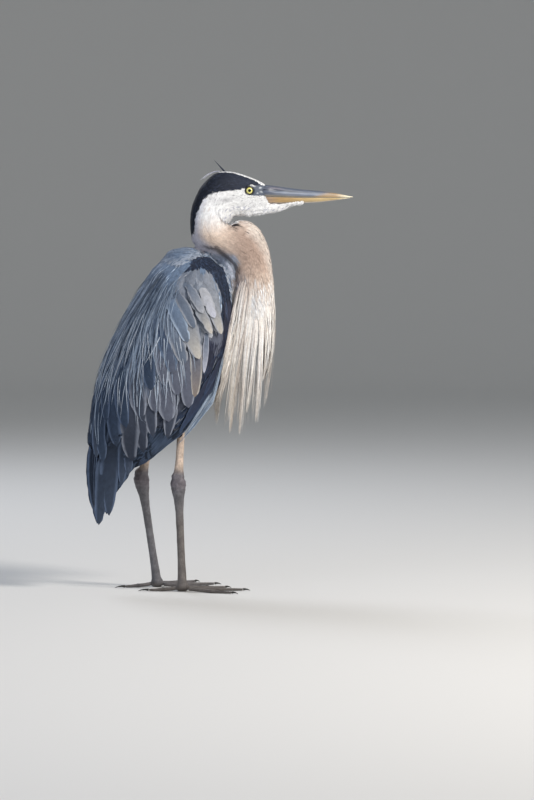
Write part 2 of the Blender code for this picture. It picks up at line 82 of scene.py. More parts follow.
class Dye(Palette):
    """The colours of the plumage and of the bare parts."""

    WHITE = "#f1f2f3"
    IVORY = "#efe9e1"
    CREAM = "#d9ccb6"
    STRAW = "#a89270"
    EAR_GREY = "#b4b4b8"
    CAP = "#141a26"
    CAP_SHEEN = "#2c3344"
    LAVENDER = "#b9bccb"
    BUFF = "#e3cfbe"
    TAN = "#b59e90"
    TAN_DARK = "#9c8576"
    BREAST = "#dccfc4"
    # Painted shade, for the crease at the neck's foot.
    MAUVE = "#8d8a97"
    JET = "#16181f"
    PALE_GREY = "#a4adbb"
    BLUE_GREY = "#687a92"
    SLATE = "#3f5069"
    SLATE_DEEP = "#2f3d52"
    SILVER = "#b3c4d8"
    INK = "#1a2335"
    INK_BLUE = "#34435d"
    COVERT = "#606b7c"
    COVERT_PALE = "#a2a5ac"
    COVERT_TIP = "#c4bfb6"
    TAUPE = "#8b8179"
    MAUVE_GREY = "#5b606f"
    TERTIAL = "#3a4150"
    TERTIAL_RIM = "#9298a6"
    PRIMARY = "#1f2939"
    PRIMARY_RIM = "#53647e"
    # The tail's colours: its own slate, darkened further by painted shade as the tail faces away from the
    # light.
    TAIL_SHADED = "#1f2a3b"
    TAIL_RIM_SHADED = "#5a6a84"
    TAIL_TIP = "#3b4658"
    DUSK = "#2c3042"
    CHESTNUT = "#4b3a38"
    RUST = "#6b4a3c"
    LORES = "#5b6474"
    LORES_PALE = "#c9d0d6"
    LID = "#1b1c22"
    # Painted shade, laid along the neck's creases.
    CREASE_SHADE = "#3d3638"


class Zone(IntEnum):
    """A tract of the body whose feathers are alike."""

    FACE = 0
    CROWN = 1
    CAP = 2
    LORES = 3
    LID = 4
    CHIN = 5
    NECK = 6
    THROAT = 7
    BREAST = 8
    SHOULDER = 9
    BACK = 10
    EPAULET = 11
    COVERT = 12
    WING = 13
    BELLY = 14
    THIGH = 15
    VENT = 16
    BARE = 17


def linear(code: str) -> tuple[float, float, float, float]:
    """Turns an sRGB hex colour to linear.

    Args:
        code: such as "#3fa0c8".

    Returns:
        Linear red, green, blue and an alpha of 1.
    """
    parts = [int(code[i : i + 2], 16) / 255 for i in (1, 3, 5)]
    red, green, blue = ((c / 12.92) if c <= 0.04045 else ((c + 0.055) / 1.055) ** 2.4 for c in parts)
    return red, green, blue, 1.0


def curve(points: list[tuple[float, ...]] | Array, count: int) -> Array:
    """Samples a Catmull-Rom curve evenly in its parameter.

    Args:
        points: the places that the curve runs through.
        count: how many samples.

    Returns:
        The samples, one row each.
    """
    rows = np.array(points, float)
    rows = np.vstack([2 * rows[0] - rows[1], rows, 2 * rows[-1] - rows[-2]])
    at = np.linspace(0, len(rows) - 3, count)
    i = np.minimum(at.astype(int), len(rows) - 4)
    t = (at - i)[:, None]
    a, b, c, d = rows[i], rows[i + 1], rows[i + 2], rows[i + 3]
    bend = (2 * a - 5 * b + 4 * c - d) * t**2 + (3 * b - a - 3 * c + d) * t**3
    return 0.5 * (2 * b + (c - a) * t + bend)


def circle(count: int) -> Array:
    """Evenly spaced angles round a circle."""
    return np.linspace(0, 2 * math.pi, count, endpoint=False)


def unit(vectors: Array) -> Array:
    """Vectors scaled to length 1."""
    return vectors / np.maximum(np.linalg.norm(vectors, axis=-1, keepdims=True), 1e-12)


def flat(vectors: Array, normals: Array) -> Array:
    """Vectors laid into the surfaces that have these normals, with length 1."""
    return unit(vectors - normals * (vectors * normals).sum(axis=1, keepdims=True))


def eased(lines: Array, rounds: int) -> Array:
    """Lines of points with their kinks evened out between fixed ends.

    Args:
        lines: lines x points x 3.
        rounds: how often.

    Returns:
        The lines.
    """
    for _ in range(rounds):
        lines[:, 1:-1] = (lines[:, :-2] + 2 * lines[:, 1:-1] + lines[:, 2:]) / 4
    return lines


def bell(value: Array, middle: Array | float, reach: float) -> Array:
    """A soft bump: 1 at its middle, fading over reach."""
    return np.exp(-(((value - middle) / reach) ** 2))


def ramp(value: Array, low: float, high: float) -> Array:
    """A smooth step from 0 at low to 1 at high."""
    t = np.clip((value - low) / (high - low), 0, 1)
    return t * t * (3 - 2 * t)


def mix(first: Array | Palette, second: Array | Palette, share: Array | float) -> Array:
    """Colours between two others.

    Args:
        first: one colour, or a row of them.
        second: the same.
        share: of the second, for all or for each row.

    Returns:
        The colours.
    """
    first, second = (colour.rgb if isinstance(colour, Palette) else colour for colour in (first, second))
    share = np.asarray(share, float)
    return first + (second - first) * (share[..., None] if share.ndim else share)


def read(table: tuple, value: Array) -> Array:
    """The second column of a table, read at values of its first."""
    return np.interp(value, *np.array(table).T)


def hump(x: Array, z: Array, at: tuple[float, float], reach: tuple[float, float]) -> Array:
    """A soft round spot: 1 at its middle, fading over reach."""
    return np.exp(-(((x - at[0]) / reach[0]) ** 2) - ((z - at[1]) / reach[1]) ** 2)


def wobble(points: Array, size: float, seed: float = 0.0) -> Array:
    """A smooth unevenness between -1 and 1 whose bumps are about size across.

    Args:
        points: where it is read.
        size: of the bumps.
        seed: which of many patterns.

    Returns:
        The unevenness at each point.
    """
    p = points / size * 2.2
    waves = np.sin(p[..., 0] + 1.7 * np.sin(p[..., 1] + seed) + seed)
    waves = waves + np.sin(1.3 * p[..., 2] + 2.1 * np.sin(0.8 * p[..., 0] - seed) + 2 * seed)
    return waves / 2


# ---------------------------------------------------------------------------------------------
# Materials


def feed(node: bpy.types.Node, inputs: dict[str | int, object]) -> None:
    """Sets a node's inputs, by name or number; a node given for a value means its first output.

    Args:
        node: the node.
        inputs: the value of each input.
    """
    for key, value in inputs.items():
        if isinstance(value, bpy.types.Node):
            value = value.outputs[0]
        if isinstance(value, Socket):
            node.id_data.links.new(value, node.inputs[key])
        else:
            node.inputs[key].default_value = value


def add(
    tree: bpy.types.NodeTree, kind: str, inputs: dict[str | int, object] | None = None, **settings
) -> bpy.types.Node:
    """Adds a node, sets it up and links it.

    Args:
        tree: the material's node tree.
        kind: the node's type.
        inputs: a value, an output socket or a node for each input, by name or number.
        settings: the node's own properties.

    Returns:
        The node.
    """
    made = tree.nodes.new(kind)
    for name, value in settings.items():
        setattr(made, name, value)
    feed(made, inputs or {})
    return made


def new_material(name: str) -> tuple[Material, bpy.types.NodeTree, bpy.types.Node]:
    """A material with one Principled shader.

    Args:
        name: its name.

    Returns:
        The material, its tree and the shader.
    """
    made = bpy.data.materials.new(name)
    made.use_nodes = True
    return made, made.node_tree, made.node_tree.nodes["Principled BSDF"]


@dataclass(frozen=True)
class PlumageFinish:
    """Keratin barbs side by side: matt across, with a faint silky sheen along the vane."""

    name: str = "keratin_feather_vanes"
    roughness: float = 0.62
    sheen: float = 0.12
    barb: float = 0.0011  # coarser than real barbs, which are about 0.4 mm, so that they show
    barb_angle: float = math.radians(35)  # between a barb and the shaft
    mottle: float = 0.006  # size of the soft unevenness from feather to feather
    relief: float = 0.24

    def make(self) -> Material:
        """Builds the material, which reads the dyes from the mesh.

        Returns:
            The material.
        """
        made, tree, shader = new_material(self.name)
        tint = add(tree, "ShaderNodeAttribute", attribute_name="tint")
        rim = add(tree, "ShaderNodeAttribute", attribute_name="rim")
        place = add(tree, "ShaderNodeSeparateXYZ", {0: add(tree, "ShaderNodeUVMap", uv_map=VANE_MAP)})
        middle = add(tree, "ShaderNodeMath", {0: place, 1: 0.5}, operation="SUBTRACT")
        across = add(tree, "ShaderNodeMath", {0: middle}, operation="ABSOLUTE")
        edge = add(
            tree, "ShaderNodeMapRange", {"Value": across, "From Min": 0.26, "From Max": 0.47},
            interpolation_type="SMOOTHSTEP"
        )
        spot = add(tree, "ShaderNodeNewGeometry")
        grain = add(tree, "ShaderNodeTexNoise", {"Vector": spot, "Scale": 1 / self.mottle, "Detail": 3.0})
        shade = add(
            tree, "ShaderNodeMapRange",
            {"Value": grain, "From Min": 0.25, "From Max": 0.75, "To Min": 0.86, "To Max": 1.12}
        )
        blend = add(tree, "ShaderNodeMix", {0: edge, 6: tint, 7: rim}, data_type="RGBA", blend_type="MIX")
        lengths = add(tree, "ShaderNodeAttribute", attribute_name="barb_rows").outputs["Fac"]
        rows = add(tree, "ShaderNodeMath", {0: place.outputs[1], 1: lengths}, operation="MULTIPLY")
        turn = add(tree, "ShaderNodeAttribute", attribute_name="barb_slant").outputs["Fac"]
        inward = add(tree, "ShaderNodeMath", {0: across, 1: -1.0}, operation="MULTIPLY")
        slant = add(tree, "ShaderNodeMath", {0: inward, 1: turn, 2: rows}, operation="MULTIPLY_ADD")
        bundle = add(tree, "ShaderNodeMath", {0: slant, 1: 0.22}, operation="MULTIPLY")
        split = add(tree, "ShaderNodeCombineXYZ", {0: bundle, 1: place, 2: lengths})
        streaks = add(tree, "ShaderNodeTexNoise", {"Vector": split, "Scale": 1.0, "Detail": 3.0})
        streak = add(
            tree, "ShaderNodeMapRange",
            {"Value": streaks, "From Min": 0.3, "From Max": 0.7, "To Min": 0.82, "To Max": 1.2}
        )
        shade = add(tree, "ShaderNodeMath", {0: shade, 1: streak}, operation="MULTIPLY")
        colour = add(tree, "ShaderNodeVectorMath", {0: blend.outputs[2], 3: shade}, operation="SCALE")
        barbs = add(tree, "ShaderNodeMath", {0: slant}, operation="SINE")
        bump = add(tree, "ShaderNodeBump", {"Strength": self.relief, "Distance": 0.0002, "Height": barbs})
        feed(shader, {"Base Color": colour, "Normal": bump, "Roughness": self.roughness})
        feed(shader, {"Sheen Weight": self.sheen, "Sheen Roughness": 0.4, "Specular IOR Level": 0.22})
        return made


@dataclass(frozen=True)
class SkinFinish:
    """Bare skin and the down over it: matt and finely pebbled."""

    name: str = "soft_skin_and_down"
    roughness: float = 0.7
    pebble: float = 0.0009

    def make(self) -> Material:
        """Builds the material, which reads the dyes from the mesh.

        Returns:
            The material.
        """
        made, tree, shader = new_material(self.name)
        tint = add(tree, "ShaderNodeAttribute", attribute_name="tint")
        spot = add(tree, "ShaderNodeNewGeometry")
        pebbles = add(tree, "ShaderNodeTexVoronoi", {"Vector": spot, "Scale": 1 / self.pebble})
        shade = add(
            tree, "ShaderNodeMapRange", {"Value": pebbles, "From Max": 0.9, "To Min": 1.08, "To Max": 0.8}
        )
        colour = add(tree, "ShaderNodeVectorMath", {0: tint, 3: shade}, operation="SCALE")
        bump = add(
            tree, "ShaderNodeBump", {"Strength": 0.3, "Distance": 0.0004, "Height": pebbles}, invert=True
        )
        feed(shader, {"Base Color": colour, "Normal": bump, "Roughness": self.roughness})
        return made


@dataclass(frozen=True)
class LegFinish:
    """Hard scaly leg skin: small many-sided scales with dull seams, stained and worn."""

    name: str = "scaly_leg_skin"
    roughness: float = 0.55
    scale: float = 0.0020  # as on real legs
    stretch: tuple[float, float, float] = (1.0, 1.0, 0.62)  # the scales are taller than wide
    stain: float = 0.012  # size of the stains

    def make(self) -> Material:
        """Builds the material, which reads the dyes from the mesh.

        Returns:
            The material.
        """
        made, tree, shader = new_material(self.name)
        tint = add(tree, "ShaderNodeAttribute", attribute_name="tint")
        spot = add(tree, "ShaderNodeNewGeometry")
        stretched = add(tree, "ShaderNodeVectorMath", {0: spot, 1: self.stretch}, operation="MULTIPLY")
        pattern = {"Vector": stretched, "Scale": 1 / self.scale, "Randomness": 0.8}
        scales = add(tree, "ShaderNodeTexVoronoi", pattern, feature="DISTANCE_TO_EDGE")
        cells = add(tree, "ShaderNodeTexVoronoi", pattern)
        cell = add(tree, "ShaderNodeSeparateColor", {0: cells.outputs["Color"]})
        body = add(tree, "ShaderNodeMapRange", {"Value": cell, "To Min": 0.84, "To Max": 1.14})
        seam = add(
            tree, "ShaderNodeMapRange", {"Value": scales, "From Max": 0.12, "To Min": 0.78, "To Max": 1.0},
            interpolation_type="SMOOTHSTEP"
        )
        blotch = add(tree, "ShaderNodeTexNoise", {"Vector": spot, "Scale": 1 / self.stain, "Detail": 5.0})
        stain = add(
            tree, "ShaderNodeMapRange",
            {"Value": blotch, "From Min": 0.3, "From Max": 0.7, "To Min": 0.70, "To Max": 1.25}
        )
        shade = add(tree, "ShaderNodeMath", {0: body, 1: seam}, operation="MULTIPLY")
        shade = add(tree, "ShaderNodeMath", {0: shade, 1: stain}, operation="MULTIPLY")
        colour = add(tree, "ShaderNodeVectorMath", {0: tint, 3: shade}, operation="SCALE")
        bump = add(tree, "ShaderNodeBump", {"Strength": 0.7, "Distance": 0.0006, "Height": seam})
        feed(shader, {"Base Color": colour, "Normal": bump, "Roughness": self.roughness})
        return made


@dataclass(frozen=True)
class HornFinish:
    """Horn of the bill and the claws: fine streaks along its length under a dull polish."""

    name: str
    roughness: float = 0.36
    streak: float = 0.0016
    dye: str | None = None  # one colour all over; the mesh's dyes if left out

    def make(self) -> Material:
        """Builds the material.

        Returns:
            The material.
        """
        made, tree, shader = new_material(self.name)
        if self.dye is None:
            tint = add(tree, "ShaderNodeAttribute", attribute_name="tint")
        else:
            tint = add(tree, "ShaderNodeRGB")
            tint.outputs[0].default_value = linear(self.dye)
        spot = add(tree, "ShaderNodeNewGeometry")
        along = add(tree, "ShaderNodeVectorMath", {0: spot, 1: (0.07, 1.0, 1.0)}, operation="MULTIPLY")
        pattern = {"Vector": along, "Scale": 1 / self.streak, "Detail": 4.0}
        streaks = add(tree, "ShaderNodeTexNoise", pattern)
        shade = add(
            tree, "ShaderNodeMapRange",
            {"Value": streaks, "From Min": 0.3, "From Max": 0.7, "To Min": 0.76, "To Max": 1.16}
        )
        colour = add(tree, "ShaderNodeVectorMath", {0: tint, 3: shade}, operation="SCALE")
        gloss = add(
            tree, "ShaderNodeMapRange",
            {"Value": streaks, "To Min": self.roughness - 0.08, "To Max": self.roughness + 0.14}
        )
        bump = add(tree, "ShaderNodeBump", {"Strength": 0.25, "Distance": 0.0003, "Height": streaks})
        feed(shader, {"Base Color": colour, "Normal": bump, "Roughness": gloss})
        return made


@dataclass(frozen=True)
class EyeFinish:
    """Wet eye: coloured tissue under the clear coat of the cornea, which gives one sharp glint."""

    name: str
    inner: str
    outer: str
    roughness: float = 0.25
    ray: float = 0.0011  # size of the iris's uneven rays

    def make(self) -> Material:
        """Builds the material; the colour runs from the inner rim of its ring to the outer one.

        Returns:
            The material.
        """
        made, tree, shader = new_material(self.name)
        share = add(tree, "ShaderNodeAttribute", attribute_name="ring_share").outputs["Fac"]
        spot = add(tree, "ShaderNodeNewGeometry")
        rays = add(tree, "ShaderNodeTexNoise", {"Vector": spot, "Scale": 1 / self.ray, "Detail": 2.0})
        uneven = add(tree, "ShaderNodeMath", {0: rays, 1: 0.35, 2: -0.17}, operation="MULTIPLY_ADD")
        share = add(tree, "ShaderNodeMath", {0: share, 1: uneven}, use_clamp=True)
        colours = {0: share, 6: linear(self.inner), 7: linear(self.outer)}
        colour = add(tree, "ShaderNodeMix", colours, data_type="RGBA").outputs[2]
        feed(shader, {"Base Color": colour, "Roughness": self.roughness})
        feed(shader, {"Coat Weight": 1.0, "Coat Roughness": 0.03, "Coat IOR": 1.38})
        return made


@dataclass(frozen=True)
class FloorFinish:
    """Smooth matt studio card, pale and even."""

    name: str = "studio_card"
    colour: str = "#d9d8d5"
    fibre: float = 0.002

    def make(self) -> Material:
        """Builds the material.

        Returns:
            The material.
        """
        made, tree, shader = new_material(self.name)
        spot = add(tree, "ShaderNodeNewGeometry")
        fibres = add(tree, "ShaderNodeTexNoise", {"Vector": spot, "Scale": 1 / self.fibre, "Detail": 4.0})
        bump = add(tree, "ShaderNodeBump", {"Strength": 0.05, "Distance": 0.0005, "Height": fibres})
        feed(shader, {"Base Color": linear(self.colour), "Normal": bump, "Roughness": 0.9})
        return made


# ---------------------------------------------------------------------------------------------
# Meshes from arrays


@dataclass
class Bodies:
    """Many closed bodies of one build: rings of points between a root point and a tip point."""

    points: Array  # bodies x (2 + rings x ring points) x 3
    rings: int
    ring_points: int
    tint: Array  # bodies x points of a body x 3
    rim: Array
    across: Array  # points of a body: 0 to 1 from the left edge to the right
    along: Array  # points of a body: 0 to 1 from root to tip
    lengths: Array  # bodies
    bake: Array  # bodies x 2: each root's place on the bake map

    @classmethod
    def from_rings(
        cls, spine: Array, ends: Array, rings: Array, ring: Array, colours: tuple, bake: Array
    ) -> "Bodies":
        """Bodies from the rings of points round their spines.

        Args:
            spine: bodies x points x 3, root first.
            ends: bodies x 2 x 3, the roots and the tips.
            rings: bodies x inner points of the spine x ring points x 3.
            ring: 0 to 1 from the left edge to the right, for each point of a ring.
            colours: the tint and the rim, each bodies x points of the spine x 3.
            bake: each root's place on the bake map.

        Returns:
            The bodies.
        """
        count, size, each = len(spine), spine.shape[1], len(ring)
        points = np.concatenate([ends[:, :1], rings.reshape(count, -1, 3), ends[:, 1:]], 1)
        across = np.concatenate([[0.5], np.tile(ring, size - 2), [0.5]])
        along = np.concatenate([[0.0], np.repeat(np.linspace(0, 1, size)[1:-1], each), [1.0]])
        lengths = np.linalg.norm(np.diff(spine, axis=1), axis=2).sum(axis=1)
        times = np.array([1] + [each] * (size - 2) + [1])
        tint, rim = (np.repeat(colour, times, axis=1) for colour in colours)
        return cls(points, size - 2, each, tint, rim, across, along, lengths, bake)


def ring_faces(count: int, rings: int, ring_points: int) -> tuple[Array, Array]:
    """The triangles and quads of closed bodies, each a root point, rings of points and a tip point.

    Args:
        count: how many bodies.
        rings: how many rings each has.
        ring_points: points in a ring.

    Returns:
        Triangles and quads, as rows of point numbers.
    """
    size = 2 + rings * ring_points
    last = size - 1 - ring_points
    j = np.arange(ring_points)
    after = (j + 1) % ring_points
    root = np.stack([0 * j, 1 + after, 1 + j], 1)
    tip = np.stack([last + j, last + after, 0 * j + size - 1], 1)
    quads = [
        np.stack([a + j, a + after, a + ring_points + after, a + ring_points + j], 1)
        for a in range(1, last, ring_points)
    ]
    start = (np.arange(count) * size)[:, None, None]
    return (np.vstack([root, tip]) + start).reshape(-1, 3), (np.vstack(quads) + start).reshape(-1, 4)


def mesh_from(name: str, points: Array, triangles: Array, squares: Array) -> bpy.types.Mesh:
    """A smooth-shaded mesh from arrays of points, triangles and quads.

    Args:
        name: the mesh's name.
        points: its points.
        triangles: its three-sided faces.
        squares: its four-sided faces.

    Returns:
        The mesh.
    """
    made = bpy.data.meshes.new(name)
    made.vertices.add(len(points))
    made.vertices.foreach_set("co", np.ascontiguousarray(points, np.float32).ravel())
    corners = np.concatenate([triangles.ravel(), squares.ravel()]).astype(np.int32)
    sizes = np.concatenate([np.full(len(triangles), 3), np.full(len(squares), 4)])
    made.loops.add(len(corners))
    made.loops.foreach_set("vertex_index", corners)
    made.polygons.add(len(sizes))
    made.polygons.foreach_set("loop_start", (np.cumsum(sizes) - sizes).astype(np.int32))
    made.update(calc_edges=True)
    made.shade_smooth()
    return made


def dye_mesh(mesh: bpy.types.Mesh, name: str, colours: Array) -> None:
    """Stores a colour per point on a mesh.

    Args:
        mesh: the mesh.
        name: the layer's name.
        colours: one row per point.
    """
    layer = mesh.attributes.new(name, "FLOAT_COLOR", "POINT")
    full = np.ones((len(colours), 4), np.float32)
    full[:, :3] = np.clip(colours, 0, 1)
    layer.data.foreach_set("color", full.ravel())


def number_mesh(mesh: bpy.types.Mesh, name: str, values: Array) -> None:
    """Stores a number per point on a mesh."""
    layer = mesh.attributes.new(name, "FLOAT", "POINT")
    layer.data.foreach_set("value", np.ascontiguousarray(values, np.float32))


def map_mesh(mesh: bpy.types.Mesh, name: str, places: Array) -> None:
    """Stores a UV map from one place per point.

    Args:
        mesh: the mesh.
        name: the map's name.
        places: one row per point.
    """
    corners = np.zeros(len(mesh.loops), np.int32)
    mesh.loops.foreach_get("vertex_index", corners)
    layer = mesh.uv_layers.new(name=name)
    layer.uv.foreach_set("vector", np.ascontiguousarray(places[corners], np.float32).ravel())


def placed(name: str, data: bpy.types.ID) -> bpy.types.Object:
    """Puts a new object in the scene.

    Args:
        name: the object's name.
        data: its mesh, lamp or camera.

    Returns:
        The object.
    """
    made = bpy.data.objects.new(name, data)
    bpy.context.scene.collection.objects.link(made)
    return made


def show(mesh: bpy.types.Mesh, materials: list[Material]) -> bpy.types.Object:
    """Puts a mesh in the scene as a piece that rides on the bird's body.

    Args:
        mesh: its shape.
        materials: its materials, in order.

    Returns:
        The piece.
    """
    for finish in materials:
        mesh.materials.append(finish)
    made = placed(mesh.name, mesh)
    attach(made, BODY)
    return made


def show_bodies(name: str, bodies: Bodies, finish: Material) -> list[bpy.types.Object]:
    """Shows bodies as one piece, or as several where one would hold too many triangles.

    Args:
        name: the piece's name.
        bodies: the feathers.
        finish: their material.

    Returns:
        The pieces.
    """
    count, size = bodies.points.shape[:2]
    triangles = count * 2 * bodies.rings * bodies.ring_points
    parts = max(1, math.ceil(triangles / MOST_TRIANGLES))
    first = 1 + (bodies.rings // 2) * bodies.ring_points
    ring = bodies.points[:, first : first + bodies.ring_points]
    wide = np.linalg.norm(ring - ring[:, :1], axis=2).max(axis=1)
    barb, angle = PlumageFinish().barb, PlumageFinish().barb_angle
    numbers = {
        "barb_rows": 2 * math.pi * bodies.lengths / barb,
        "barb_slant": 2 * math.pi * wide / barb / math.tan(angle),
    }
    local = np.stack([bodies.across, bodies.along], 1)
    pieces = []
    for i, chosen in enumerate(np.array_split(np.arange(count), parts)):
        faces = ring_faces(len(chosen), bodies.rings, bodies.ring_points)
        title = name if parts == 1 else f"{name}_{i + 1}"
        mesh = mesh_from(title, bodies.points[chosen].reshape(-1, 3), *faces)
        mesh.set_sharp_from_angle(angle=SHARP)
        for kind, colours in (("tint", bodies.tint), ("rim", bodies.rim)):
            dye_mesh(mesh, kind, colours[chosen].reshape(-1, 3))
        for kind, values in numbers.items():
            number_mesh(mesh, kind, np.repeat(values[chosen], size))
        spread = bodies.bake[chosen][:, None, :] + (local[None] - 0.5) * PATCH
        map_mesh(mesh, BAKE_MAP, spread.reshape(-1, 2))
        map_mesh(mesh, VANE_MAP, np.tile(local, (len(chosen), 1)))
        pieces.append(show(mesh, [finish]))
    log.info("%s: %d feathers, %d triangles", name, count, triangles)
    return pieces


class Surface:
    """A triangle surface that answers questions about many points at once."""

    def __init__(self, points: Array, triangles: Array) -> None:
        """Measures the surface.

        Args:
            points: its points.
            triangles: its triangles, as rows of three point numbers.
        """
        self.points, self.triangles = points, triangles
        corners = points[triangles]
        cross = np.cross(corners[:, 1] - corners[:, 0], corners[:, 2] - corners[:, 0])
        self.areas = np.linalg.norm(cross, axis=1) / 2
        self.middles = corners.mean(axis=1)
        normals = np.zeros_like(points)
        for k in range(3):
            np.add.at(normals, triangles[:, k], cross)
        self.point_normals = unit(normals)
        self.normals = unit(self.point_normals[triangles].sum(axis=1))
        self.tree = BVHTree.FromPolygons(points.tolist(), triangles.tolist())

    def nearest(self, places: Array) -> tuple[Array, Array, Array]:
        """The nearest points of the surface, their normals and their triangles.

        Args:
            places: points to start from.

        Returns:
            Points, normals and triangle numbers, one per place.
        """
        found = [self.tree.find_nearest(p) for p in places.reshape(-1, 3).tolist()]
        spots = np.array([f[0] for f in found]).reshape(places.shape)
        index = np.array([f[2] for f in found]).reshape(places.shape[:-1])
        return spots, self.normals[index], index

    def scatter(self, chosen: Array, spacing: float, rng: np.random.Generator) -> tuple[Array, Array]:
        """Random points on the chosen triangles, about spacing apart, and their triangles.

        Args:
            chosen: whether each triangle is taken.
            spacing: between points.
            rng: the source of chance.

        Returns:
            The points and their triangle numbers.
        """
        areas = self.areas * chosen
        count = int(areas.sum() / spacing**2 * 3) + 4
        index = rng.choice(len(areas), count, p=areas / areas.sum())
        a, b = rng.random((2, count, 1))
        a, b = np.where(a + b > 1, 1 - a, a), np.where(a + b > 1, 1 - b, b)
        corners = self.points[self.triangles[index]]
        spots = corners[:, 0] + a * (corners[:, 1] - corners[:, 0]) + b * (corners[:, 2] - corners[:, 0])
        cells = np.floor(spots / spacing).astype(np.int64)
        _, first = np.unique(cells, axis=0, return_index=True)
        return spots[first], index[first]


class Shell:
    """The outside of one folded wing as a height over the bird's middle plane, drawn on past its rim."""

    step = 0.005  # between the samples of the height
    low = np.array([-0.190, 0.095])  # X and Z of the first one
    shape = (60, 102)  # samples along X and Z

    def __init__(self, surface: Surface, bears: Array, origin: Array, sign: float) -> None:
        """Measures the height.

        Args:
            surface: the skin.
            bears: for each of its triangles, whether it is the wing's.
            origin: of the bird's own frame.
            sign: 1 for the left wing and -1 for the right.
        """
        self.sign = sign
        cells = np.indices(self.shape).reshape(2, -1).T * self.step + self.low
        height = np.full(len(cells), np.nan)
        for i, (x, z) in enumerate(cells.tolist()):
            place, _, face, _ = surface.tree.ray_cast(
                (x + origin[0], sign, z + origin[2]), (0.0, -sign, 0.0)
            )
            if face is not None and bears[face]:
                height[i] = (place[1] - origin[1]) * sign
        skin = np.nan_to_num(height.reshape(self.shape), nan=0.0)
        known = ~np.isnan(height.reshape(self.shape))
        for _ in range(2):  # the rounded rim would pull the drawn-on part in
            known = np.all(self.around(known, "constant"), axis=0)
        known = known.ravel()
        gap = np.linalg.norm(cells[~known][:, None] - cells[known][None], axis=2)
        near = gap.argmin(axis=1)
        reach = gap.min(axis=1)
        height[~known] = height[known][near] - 0.08 * reach - 0.25 * np.maximum(reach - 0.020, 0)
        self.height = self.even(np.maximum(height, 0.002).reshape(self.shape), 2)
        behind, below = (ramp(-side, start, start + 0.02) for side, start in zip(cells.T, (0.055, -0.325)))
        rear = (behind * below).reshape(self.shape)
        clear = skin + 0.0014 + 0.0026 * rear  # higher over the wing's rear rim
        self.height = self.even(np.maximum(self.height, clear), 1)

    @staticmethod
    def around(grid: Array, mode: str) -> list[Array]:
        """A grid and its copies moved one step each way; mode is how numpy.pad() draws on its rim."""
        wide, (rows, columns) = np.pad(grid, 1, mode=mode), grid.shape
        return [wide[i : i + rows, j : j + columns] for i in range(3) for j in range(3)]

    @classmethod
    def even(cls, height: Array, rounds: int) -> Array:
        """A height field with its steps evened out.

        Args:
            height: the field.
            rounds: how often.

        Returns:
            The new field.
        """
        for _ in range(rounds):
            height = sum(cls.around(height, "edge")) / 9
        return height

    def cover(self, table: Array) -> None:
        """Raises the height over the folded tail, whose outline the table gives.

        Args:
            table: rows of Z, ridge, edge and half width of the tail.
        """
        x, z = (grid * self.step + low for grid, low in zip(np.indices(self.shape), self.low))
        ridge, edge, half = (np.interp(z, table[:, 0], table[:, k]) for k in (1, 2, 3))
        tail = (x > ridge - 0.004) & (x < edge + 0.020) & (z < 0.235)
        raised = np.maximum(self.height, 0.68 * half + 0.0015)
        self.height = self.even(np.where(tail, raised, self.height), 1)

    def at(self, x: Array, z: Array) -> tuple[Array, Array]:
        """The height at places, and the outward normals there.

        Args:
            x: along the bird.
            z: up.

        Returns:
            Heights and unit normals.
        """
        top = np.array(self.shape) - 1.001
        u = np.clip((x - self.low[0]) / self.step, 0, top[0])
        v = np.clip((z - self.low[1]) / self.step, 0, top[1])
        i, j = u.astype(int), v.astype(int)
        a, b = u - i, v - j
        h = self.height
        ahead, behind = h[i + 1, j] * (1 - b) + h[i + 1, j + 1] * b, h[i, j] * (1 - b) + h[i, j + 1] * b
        over, under = h[i, j + 1] * (1 - a) + h[i + 1, j + 1] * a, h[i, j] * (1 - a) + h[i + 1, j] * a
        rise_x, rise_z = (ahead - behind) / self.step, (over - under) / self.step
        normal = unit(np.stack([-rise_x, np.full_like(x, self.sign), -rise_z], -1))
        return ahead * a + behind * (1 - a), normal


def mesh_arrays(mesh: bpy.types.Mesh) -> tuple[Array, Array]:
    """A mesh's points and triangles.

    Args:
        mesh: the mesh.

    Returns:
        Its points and triangles.
    """
    points = np.zeros(len(mesh.vertices) * 3)
    mesh.vertices.foreach_get("co", points)
    mesh.calc_loop_triangles()
    triangles = np.zeros(len(mesh.loop_triangles) * 3, np.int32)
    mesh.loop_triangles.foreach_get("vertices", triangles)
    return points.reshape(-1, 3), triangles.reshape(-1, 3)


def node_arrays(name: str) -> tuple[Array, Array]:
    """The points and triangles of a CAD node."""
    return mesh_arrays(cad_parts[name].data)


def joined(names: list[str]) -> tuple[Array, Array, Array]:
    """Points and triangles of several nodes, and which node each triangle is from.

    Args:
        names: the nodes' names.

    Returns:
        Points, triangles and each triangle's place in names.
    """
    points, triangles, owner, shift = [], [], [], 0
    for i, name in enumerate(names):
        p, t = node_arrays(name)
        points.append(p)
        triangles.append(t + shift)
        owner.append(np.full(len(t), i))
        shift += len(p)
    return np.vstack(points), np.vstack(triangles), np.concatenate(owner)


